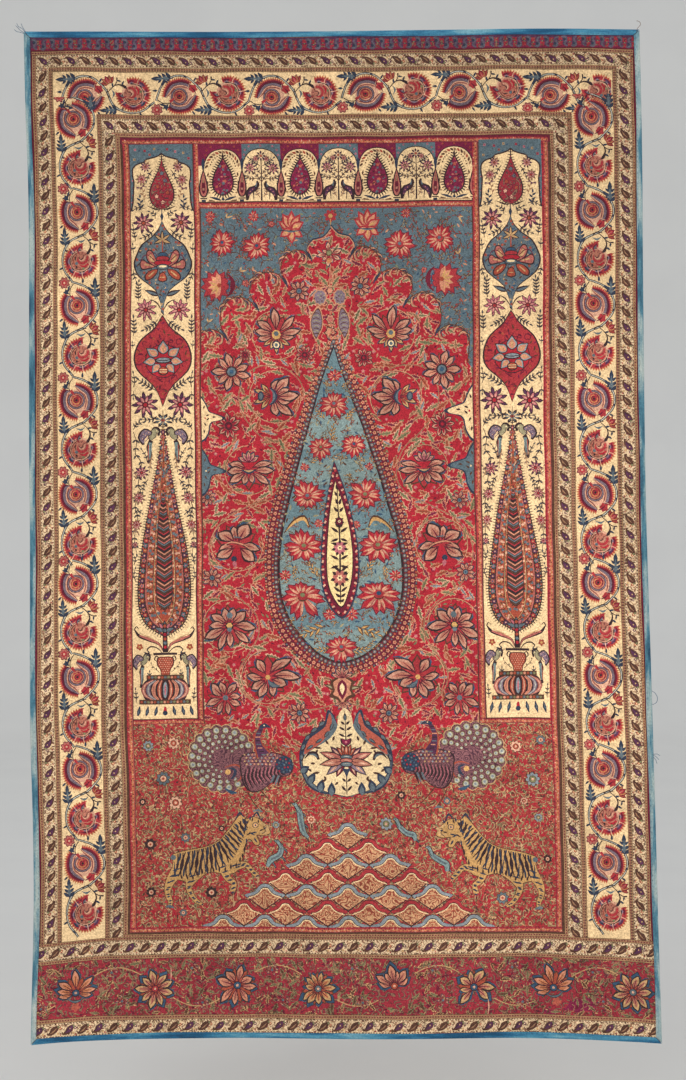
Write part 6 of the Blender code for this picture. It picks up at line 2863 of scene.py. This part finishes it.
def stitches(edge, material, collection):
    """The running stitches that hold one strip, on the face and on the reverse."""
    length = WIDTH if edge in ("top", "bottom") else DROP
    outer = CLOTH_THICK / 2 + AIR + BINDING_THICK
    paths = []
    for side in (1, -1):
        start = FIRST_STITCH if side > 0 else FIRST_STITCH + STITCH_PITCH / 2
        for k, at in enumerate(np.arange(start, length - 0.016, STITCH_PITCH)):
            lean = 0.0004 * math.sin(2.1 * k + side)
            along = at + STITCH_STEP * np.arange(4)
            depth = BINDING_REACH - STITCH_IN + lean * np.array([-1, 0, 0.5, 1])
            lift = side * (outer + THREAD * np.array([-0.6, 0.55, 0.55, -0.6]))
            paths.append(at_edge(edge, along, depth, lift))
    return threads(
        "stitches_" + edge, paths, THREAD / 2, material, "binding_" + edge, collection
    )


# Loose threads, as (across, down, forward) in millimetres from the panel's top left fold
TUFT_CORNER = (
    ((2, 3, 2), (-4, 0, 4), (-9, -5, 5), (-13, -9, 4)),
    ((3, 2, 1), (-2, -4, 3), (-8, -7, 6), (-11, -13, 5)),
    ((1, 4, 1), (-6, 2, 3), (-11, 1, 3), (-16, -3, 2)),
    ((4, 2, 2), (1, -3, 4), (-2, -8, 5), (-3, -12, 6)),
)
THREAD_TOP_RIGHT = (((1044, 4, 2), (1047, -2, 4), (1051, -7, 5), (1049, -12, 4), (1044, -14, 3)),)
LOOP_RIGHT = (((1049, 1110, 1), (1055, 1114, 3), (1059, 1122, 4), (1057, 1130, 3), (1050, 1134, 1)),)
TUFT_RIGHT = (
    ((1048, 1218, 1), (1054, 1221, 3), (1058, 1226, 4)),
    ((1048, 1220, 1), (1053, 1226, 3), (1055, 1233, 3)),
    ((1048, 1217, 2), (1055, 1216, 4), (1060, 1219, 4)),
)


def loose_threads(material, brown, collection):
    """The tufts and loose ends that hang from the binding."""

    def laid(rows):
        """Threads in metres, smooth, fixed to the nearest place of the panel's edge."""
        paths = []
        for row in rows:
            row = np.array(row, float)
            across, down = np.clip(row[0, 0], 0, WIDE) / 1000, np.clip(row[0, 1], 0, TALL) / 1000
            root = surface(np.array([across]), np.array([down]))[0]
            line = curve(np.stack([row[:, 0], row[:, 1]], axis=1), fine=4)
            lift = np.interp(np.linspace(0, 1, len(line)), np.linspace(0, 1, len(row)), row[:, 2])
            off = (line - row[0, :2]) / 1000
            paths.append(root + np.stack([off[:, 0], -lift / 1000, -off[:, 1]], axis=1))
        return paths

    places = (
        ("tuft_top_left", TUFT_CORNER, material, "binding_left"),
        ("thread_top_right", THREAD_TOP_RIGHT, brown, "binding_right"),
        ("thread_loop_right", LOOP_RIGHT, material, "binding_right"),
        ("tuft_right", TUFT_RIGHT, material, "binding_right"),
    )
    return [
        threads(name, laid(rows), LOOSE_THREAD, look, node, collection) for name, rows, look,
        node in places
    ]


# Materials


def add(nodes, kind, settings=None, **links):
    """Adds a node with its settings and links. A link's name is its input's, with _ for a space."""
    node = nodes.new(kind)
    for key, value in (settings or {}).items():
        setattr(node, key, value)
    for key, value in links.items():
        socket = node.inputs[int(key[1:])] if key[0] == "i" and key[1:].isdigit() else node.inputs[
            key.replace("_", " ")
        ]
        if isinstance(value, bpy.types.NodeSocket):
            node.id_data.links.new(value, socket)
        else:
            socket.default_value = value
    return node


# Sizes in metres. Threads of such cotton lie about half a millimetre apart, too fine to show here, so
# both weaves are drawn several times coarser: 3.0 mm on the cloth and 2.2 mm on the binding.
WEAVE = 0.0030
BINDING_WEAVE = 0.0022
SPECKLE = 0.0026
FLOWER_BIT = 0.0045
WORM_LINE = 0.0110
STEM_LINE = 0.0135
FLECK = 0.0031

# Blotches to the metre: patches and washes of uneven dye, slubs in the binding, twist in a thread
PATCHES = 22.0
WASHES = 3.2
SLUBS = 420.0
TWISTS = 900.0

# The fine work on the grounds, as sRGB hex values
BIT_SHADES = ("A82C38", "7C6A4A", "B8906A", "553630", "A82C38", "8E7C58", "A8543E", "6A4034")
FLECK_SHADES = ("6E4E3C", "8A6048", "5C3E38", "9C6A54", "84704E")
THICKET_STEM = "5C302C"
THICKET_TIP = "BC946C"
FOOT_STEM = "5A3638"
FOOT_TIP = "8C6450"
SCALE_LINE = "8E4636"
PLUME_LINE = "56343E"
UNDYED = "D9C39A"

# How far the undyed cloth pales the print on the reverse
PALER_BEHIND = 0.42

# How much darker the print is made towards its top edge, and a painted pool of light: its gain and its middle
TOP_DARKENING = 0.80
LIGHT_POOL_GAIN = 1.20
LIGHT_POOL_MIDDLE = (0.30, 0.0, -1.02)


def blank(name):
    """A new material, its nodes, its shader and the place on the object."""
    material = bpy.data.materials.new(name)
    material.use_nodes = True
    nodes = material.node_tree.nodes
    return material, nodes, nodes["Principled BSDF"], add(nodes, "ShaderNodeTexCoord").outputs["Object"]


def weave_of(nodes, where, pitch):
    """The height of a plain weave, threads up and across."""
    heights = []
    for direction in ("X", "Z"):
        settings = {"wave_type": "BANDS", "bands_direction": direction}
        wave = add(
            nodes, "ShaderNodeTexWave", settings, Vector=where, Scale=0.314 / pitch, Distortion=1.2,
            Detail=1.0,
        )
        heights.append(wave.outputs[1])
    return add(nodes, "ShaderNodeMath", {"operation": "ADD"}, i0=heights[0], i1=heights[1]).outputs[0]


def strewn(nodes, where, size, hexes):
    """Small bent flecks of several colours: their colour, and where they lie."""
    warp = add(nodes, "ShaderNodeTexNoise", Vector=where, Scale=0.9 / size, Detail=1.0)
    bent = {"operation": "MULTIPLY_ADD"}
    bent = add(nodes, "ShaderNodeVectorMath", bent, i0=warp.outputs[1], i1=(size * 2.2,) * 3, i2=where)
    cells = add(nodes, "ShaderNodeTexVoronoi", Vector=bent.outputs[0], Scale=1 / size)
    pick = add(nodes, "ShaderNodeSeparateColor", Color=cells.outputs["Color"])
    ramp = add(nodes, "ShaderNodeValToRGB", Fac=pick.outputs[0])
    ramp.color_ramp.interpolation = "CONSTANT"
    stops = ramp.color_ramp.elements
    while len(stops) < len(hexes):
        stops.new(0.5)
    for k, value in enumerate(hexes):
        stops[k].position = k / len(hexes)
        stops[k].color = opaque(value)
    over = add(nodes, "ShaderNodeMath", {"operation": "LESS_THAN"}, i0=cells.outputs["Distance"], i1=0.5)
    return ramp.outputs[0], over.outputs[0]


def winding(nodes, where, size, turns):
    """A wave that winds about at random, from -1 in its troughs to 1 on its ridges."""
    noise = add(nodes, "ShaderNodeTexNoise", Vector=where, Scale=1 / size, Detail=0.0)
    wave = add(nodes, "ShaderNodeMath", {"operation": "MULTIPLY"}, i0=noise.outputs[0], i1=turns)
    return add(nodes, "ShaderNodeMath", {"operation": "SINE"}, i0=wave.outputs[0]).outputs[0]


def above(nodes, value, level):
    """1 where the value is over the level."""
    return add(nodes, "ShaderNodeMath", {"operation": "GREATER_THAN"}, i0=value, i1=level).outputs[0]


def is_ground(nodes, ground, dye):
    """1 where the cloth's ground is that of one dye."""
    return add(
        nodes, "ShaderNodeMath", {"operation": "COMPARE"}, i0=ground, i1=GROUNDS[dye], i2=0.25
    ).outputs[0]


def both_of(nodes, first, second):
    """One value times another: 1 only where both are."""
    return add(nodes, "ShaderNodeMath", {"operation": "MULTIPLY"}, i0=first, i1=second).outputs[0]


def over_of(nodes, share, under, upper):
    """Colour upper laid over colour under by a share."""
    settings = {"data_type": "RGBA", "clamp_factor": True}
    return add(nodes, "ShaderNodeMix", settings, i0=share, i6=under, i7=upper).outputs[2]


def cotton(name, through):
    """Plain-woven cotton with dyes sunk in; through is how far the ground cloth pales them."""
    material, nodes, shader, where = blank(name)
    colour = add(nodes, "ShaderNodeAttribute", {"attribute_name": "dye"}).outputs["Vector"]
    ground = add(nodes, "ShaderNodeAttribute", {"attribute_name": "ground"}).outputs["Fac"]

    bits, over = strewn(nodes, where, FLOWER_BIT, BIT_SHADES)
    thick, foot = is_ground(nodes, ground, "thicket"), is_ground(nodes, ground, "garnet")
    colour = over_of(nodes, both_of(nodes, over, thick), colour, bits)
    # Winding stems with lighter ridges, broken up by a slower wave
    stems = winding(nodes, where, STEM_LINE, 34.0)
    broken = above(nodes, winding(nodes, where, STEM_LINE * 0.7, 11.0), -0.55)
    thick, foot = both_of(nodes, thick, broken), both_of(nodes, foot, broken)
    for level, here, shade in (
        (0.25, thick, THICKET_STEM),
        (0.72, thick, THICKET_TIP),
        (-0.15, foot, FOOT_STEM),
        (0.62, foot, FOOT_TIP),
    ):
        colour = over_of(nodes, both_of(nodes, above(nodes, stems, level), here), colour, opaque(shade))

    # The guards' scattered speckles
    flecks, over = strewn(nodes, where, FLECK, FLECK_SHADES)
    few = add(nodes, "ShaderNodeTexNoise", Vector=where, Scale=0.7 / FLECK, Detail=0.0)
    few = above(nodes, few.outputs[0], 0.44)
    share = both_of(nodes, both_of(nodes, over, few), is_ground(nodes, ground, "guard"))
    colour = over_of(nodes, share, colour, flecks)

    # Fine wavering lines in the hill's scales and the peacocks' plumes
    worm = above(nodes, winding(nodes, where, WORM_LINE, 42.0), 0.35)
    for dye, shade in (("scale", SCALE_LINE), ("plume", PLUME_LINE)):
        colour = over_of(nodes, both_of(nodes, worm, is_ground(nodes, ground, dye)), colour, opaque(shade))

    # Uneven dye: a fine speckle, then worn patches, then wide washes, each paling and deepening it
    speckle = add(nodes, "ShaderNodeTexNoise", Vector=where, Scale=1 / SPECKLE, Detail=2.0, Roughness=0.7)
    patch = add(nodes, "ShaderNodeTexNoise", Vector=where, Scale=PATCHES, Detail=3.0, Roughness=0.6)
    wash = add(nodes, "ShaderNodeTexNoise", Vector=where, Scale=WASHES, Detail=2.0)
    for noise, low, high in ((speckle, 0.56, 1.36), (patch, 0.84, 1.14), (wash, 0.90, 1.08)):
        settings = {"clamp": True}
        fade = add(nodes, "ShaderNodeMapRange", settings, Value=noise.outputs[0], From_Min=0.3, From_Max=0.7)
        fade.inputs["To Min"].default_value = low
        fade.inputs["To Max"].default_value = high
        colour = add(
            nodes, "ShaderNodeVectorMath", {"operation": "SCALE"}, i0=colour, Scale=fade.outputs[0]
        ).outputs[0]
    # Darker towards the top edge, and a painted pool of light that brightens the lower right
    high = add(nodes, "ShaderNodeSeparateXYZ", Vector=where).outputs["Z"]
    top_darkening = add(
        nodes, "ShaderNodeMapRange", Value=high, From_Min=-0.42, From_Max=-0.06, To_Min=1.0, To_Max=TOP_DARKENING
    )
    # Painted pool of light: the colour grows brighter towards a point low on the right
    away = add(nodes, "ShaderNodeVectorMath", {"operation": "DISTANCE"}, i0=where, i1=LIGHT_POOL_MIDDLE).outputs["Value"]
    painted_light_pool = add(nodes, "ShaderNodeMapRange", Value=away, From_Min=0.1, From_Max=0.75, To_Min=LIGHT_POOL_GAIN, To_Max=1.0)
    for share in (top_darkening, painted_light_pool):
        colour = add(
            nodes, "ShaderNodeVectorMath", {"operation": "SCALE"}, i0=colour, Scale=share.outputs[0]
        ).outputs[0]
    if through:
        colour = over_of(nodes, through, colour, opaque(UNDYED))
    links = material.node_tree.links
    links.new(colour, shader.inputs["Base Color"])

    # The weave's threads and the dye's speckle, raised a little, and a matt, slightly fuzzy finish
    weave = weave_of(nodes, where, WEAVE)
    height = add(
        nodes, "ShaderNodeMath", {"operation": "MULTIPLY_ADD"}, i0=speckle.outputs[0], i1=1.2, i2=weave
    )
    bump = add(nodes, "ShaderNodeBump", Height=height.outputs[0], Strength=0.35, Distance=0.0006)
    links.new(bump.outputs[0], shader.inputs["Normal"])
    rough = add(
        nodes, "ShaderNodeMapRange", Value=speckle.outputs[0], From_Min=0.3, From_Max=0.7, To_Min=0.80,
        To_Max=0.94,
    )
    links.new(rough.outputs[0], shader.inputs["Roughness"])
    shader.inputs["Specular IOR Level"].default_value = 0.2
    shader.inputs["Sheen Weight"].default_value = 0.08
    shader.inputs["Sheen Roughness"].default_value = 0.5
    return material


def printed_cotton():
    """Hand-printed, hand-painted cotton: a matt plain weave that the dyes sink into unevenly."""
    return cotton("printed_cotton_face", 0.0)


def cotton_reverse():
    """The same cotton from behind: the dyes show through paler, in blurred large shapes."""
    return cotton("printed_cotton_reverse", PALER_BEHIND)


def blue_cotton(name, streak, shades):
    """Indigo-dyed cotton strip, faded in streaks and patches: deep blue to pale turquoise."""
    material, nodes, shader, where = blank(name)
    links = material.node_tree.links
    drawn = add(nodes, "ShaderNodeMapping", Vector=where, Scale=streak)
    patch = add(nodes, "ShaderNodeTexNoise", Vector=drawn.outputs[0], Scale=1.0, Detail=4.0, Roughness=0.62)
    ramp = add(nodes, "ShaderNodeValToRGB", Fac=patch.outputs[0])
    stops = ramp.color_ramp.elements
    while len(stops) < 4:
        stops.new(0.5)
    for stop, (at, value) in zip(stops, zip((0.30, 0.45, 0.57, 0.74), shades)):
        stop.position = at
        stop.color = opaque(value)
    thread = add(nodes, "ShaderNodeTexNoise", Vector=where, Scale=SLUBS, Detail=2.0)
    fade = add(
        nodes, "ShaderNodeMapRange", Value=thread.outputs[0], From_Min=0.3, From_Max=0.7, To_Min=0.8,
        To_Max=1.15,
    )
    colour = add(
        nodes, "ShaderNodeVectorMath", {"operation": "SCALE"}, i0=ramp.outputs[0], Scale=fade.outputs[0]
    )
    links.new(colour.outputs[0], shader.inputs["Base Color"])
    height = add(
        nodes, "ShaderNodeMath", {"operation": "ADD"}, i0=weave_of(nodes, where, BINDING_WEAVE),
        i1=thread.outputs[0],
    )
    bump = add(nodes, "ShaderNodeBump", Height=height.outputs[0], Strength=0.4, Distance=0.0005)
    links.new(bump.outputs[0], shader.inputs["Normal"])
    rough = add(
        nodes, "ShaderNodeMapRange", Value=patch.outputs[0], From_Min=0.3, From_Max=0.7, To_Min=0.72,
        To_Max=0.9,
    )
    links.new(rough.outputs[0], shader.inputs["Roughness"])
    shader.inputs["Specular IOR Level"].default_value = 0.25
    return material


def cotton_thread(name, hex_value):
    """Spun cotton thread: matt, with a fuzzy twist that catches light unevenly."""
    material, nodes, shader, where = blank(name)
    twist = add(nodes, "ShaderNodeTexNoise", Vector=where, Scale=TWISTS, Detail=1.0)
    shade = over_of(nodes, twist.outputs[0], (*linear(hex_value) * 0.55, 1), (*linear(hex_value) * 1.3, 1))
    material.node_tree.links.new(shade, shader.inputs["Base Color"])
    bump = add(nodes, "ShaderNodeBump", Height=twist.outputs[0], Strength=0.5, Distance=0.0002)
    material.node_tree.links.new(bump.outputs[0], shader.inputs["Normal"])
    shader.inputs["Roughness"].default_value = 0.88
    return material


# The studio

SHEET_SEEN = 1.8176
FRAME_MIDDLE = (0.0017, -0.8555)
CAMERA_AWAY = 3.2
SENSOR = 36.0
FLOOR = -1.86

# The sweep's near end, where it starts to bend up, the bend's radius, its top and its half width
SWEEP = (-9.0, 6.0, 2.5, 9.0, 10.0)

# Name, place, aim, size in metres and power in watts
LAMPS = (
    ("key", (-2.3, -3.4, 0.3), (0, 0, -0.85), 2.2, 46),
    ("fill", (2.3, -3.4, -0.9), (0, 0, -0.9), 2.4, 47),
)


def studio_paper():
    """Pale matt studio paper, with a very faint mottle."""
    material, nodes, shader, where = blank("studio_paper")
    mottle = add(nodes, "ShaderNodeTexNoise", Vector=where, Scale=3.0, Detail=3.0)
    pale = over_of(nodes, mottle.outputs[0], opaque("DEDEDC"), opaque("E6E6E3"))
    material.node_tree.links.new(pale, shader.inputs["Base Color"])
    shader.inputs["Roughness"].default_value = 0.9
    return material


def studio():
    """A camera square on to the panel, a pale sweep behind it, and wide soft lights."""
    eye = bpy.data.cameras.new("camera")
    eye.sensor_fit = "VERTICAL"
    eye.sensor_height = SENSOR
    eye.lens = SENSOR * CAMERA_AWAY / SHEET_SEEN
    camera = bpy.data.objects.new("camera", eye)
    camera.location = (FRAME_MIDDLE[0], -CAMERA_AWAY, FRAME_MIDDLE[1])
    camera.rotation_euler = (math.pi / 2, 0, 0)
    bpy.context.scene.collection.objects.link(camera)
    bpy.context.scene.camera = camera
    bpy.context.scene.view_settings.view_transform = "Standard"

    world = bpy.data.worlds.new("studio")
    bpy.context.scene.world = world
    world.use_nodes = True
    sky = world.node_tree.nodes["Background"]
    sky.inputs["Color"].default_value = (0.92, 0.93, 0.95, 1)
    sky.inputs["Strength"].default_value = 0.75

    sweep = bpy.data.meshes.new("sweep")
    near, bend, radius, top, half = SWEEP
    profile = [(near, FLOOR), (bend, FLOOR)]
    for turn in np.radians(range(6, 91, 6)):
        profile.append((bend + radius * math.sin(turn), FLOOR + radius * (1 - math.cos(turn))))
    profile.append((bend + radius, top))
    sweep.from_pydata(
        [(x, y, z) for y, z in profile for x in (-half, half)],
        [],
        [(2 * k, 2 * k + 1, 2 * k + 3, 2 * k + 2) for k in range(len(profile) - 1)],
    )
    sweep.polygons.foreach_set("use_smooth", [True] * len(sweep.polygons))
    sweep.materials.append(studio_paper())
    floor = bpy.data.objects.new("studio_sweep", sweep)
    bpy.context.scene.collection.objects.link(floor)

    for name, at, aim, size, power in LAMPS:
        lamp = bpy.data.lights.new(name, "AREA")
        lamp.size = size
        lamp.energy = power
        light = bpy.data.objects.new(name, lamp)
        light.location = at
        light.rotation_euler = (Vector(aim) - Vector(at)).to_track_quat("-Z", "Y").to_euler()
        bpy.context.scene.collection.objects.link(light)


def main():
    """The studio, the printed cloth, its bindings, stitches and loose threads, and what they stand for."""
    collection = bpy.data.collections.new("panel_looks")
    bpy.context.scene.collection.children.link(collection)
    studio()
    drawing = whole_drawing()
    faces, reverse = lay_cloth(drawing, collection)
    upright = blue_cotton("blue_cotton_upright", (60.0, 60.0, 9.0), ("1E425A", "4E7C8C", "98AAA8", "C2C4B8"))
    level = blue_cotton("blue_cotton_level", (7.0, 60.0, 60.0), ("123A58", "235F82", "4A88A2", "8FB9BE"))
    blue_thread = cotton_thread("cotton_thread_blue", "2A5A78")
    brown_thread = cotton_thread("cotton_thread_brown", "7A5A44")
    rest = []
    for edge in EDGES:
        rest.append(binding(edge, level if edge in ("top", "bottom") else upright, collection))
        rest.append(stitches(edge, blue_thread, collection))
    rest += loose_threads(blue_thread, brown_thread, collection)


main()
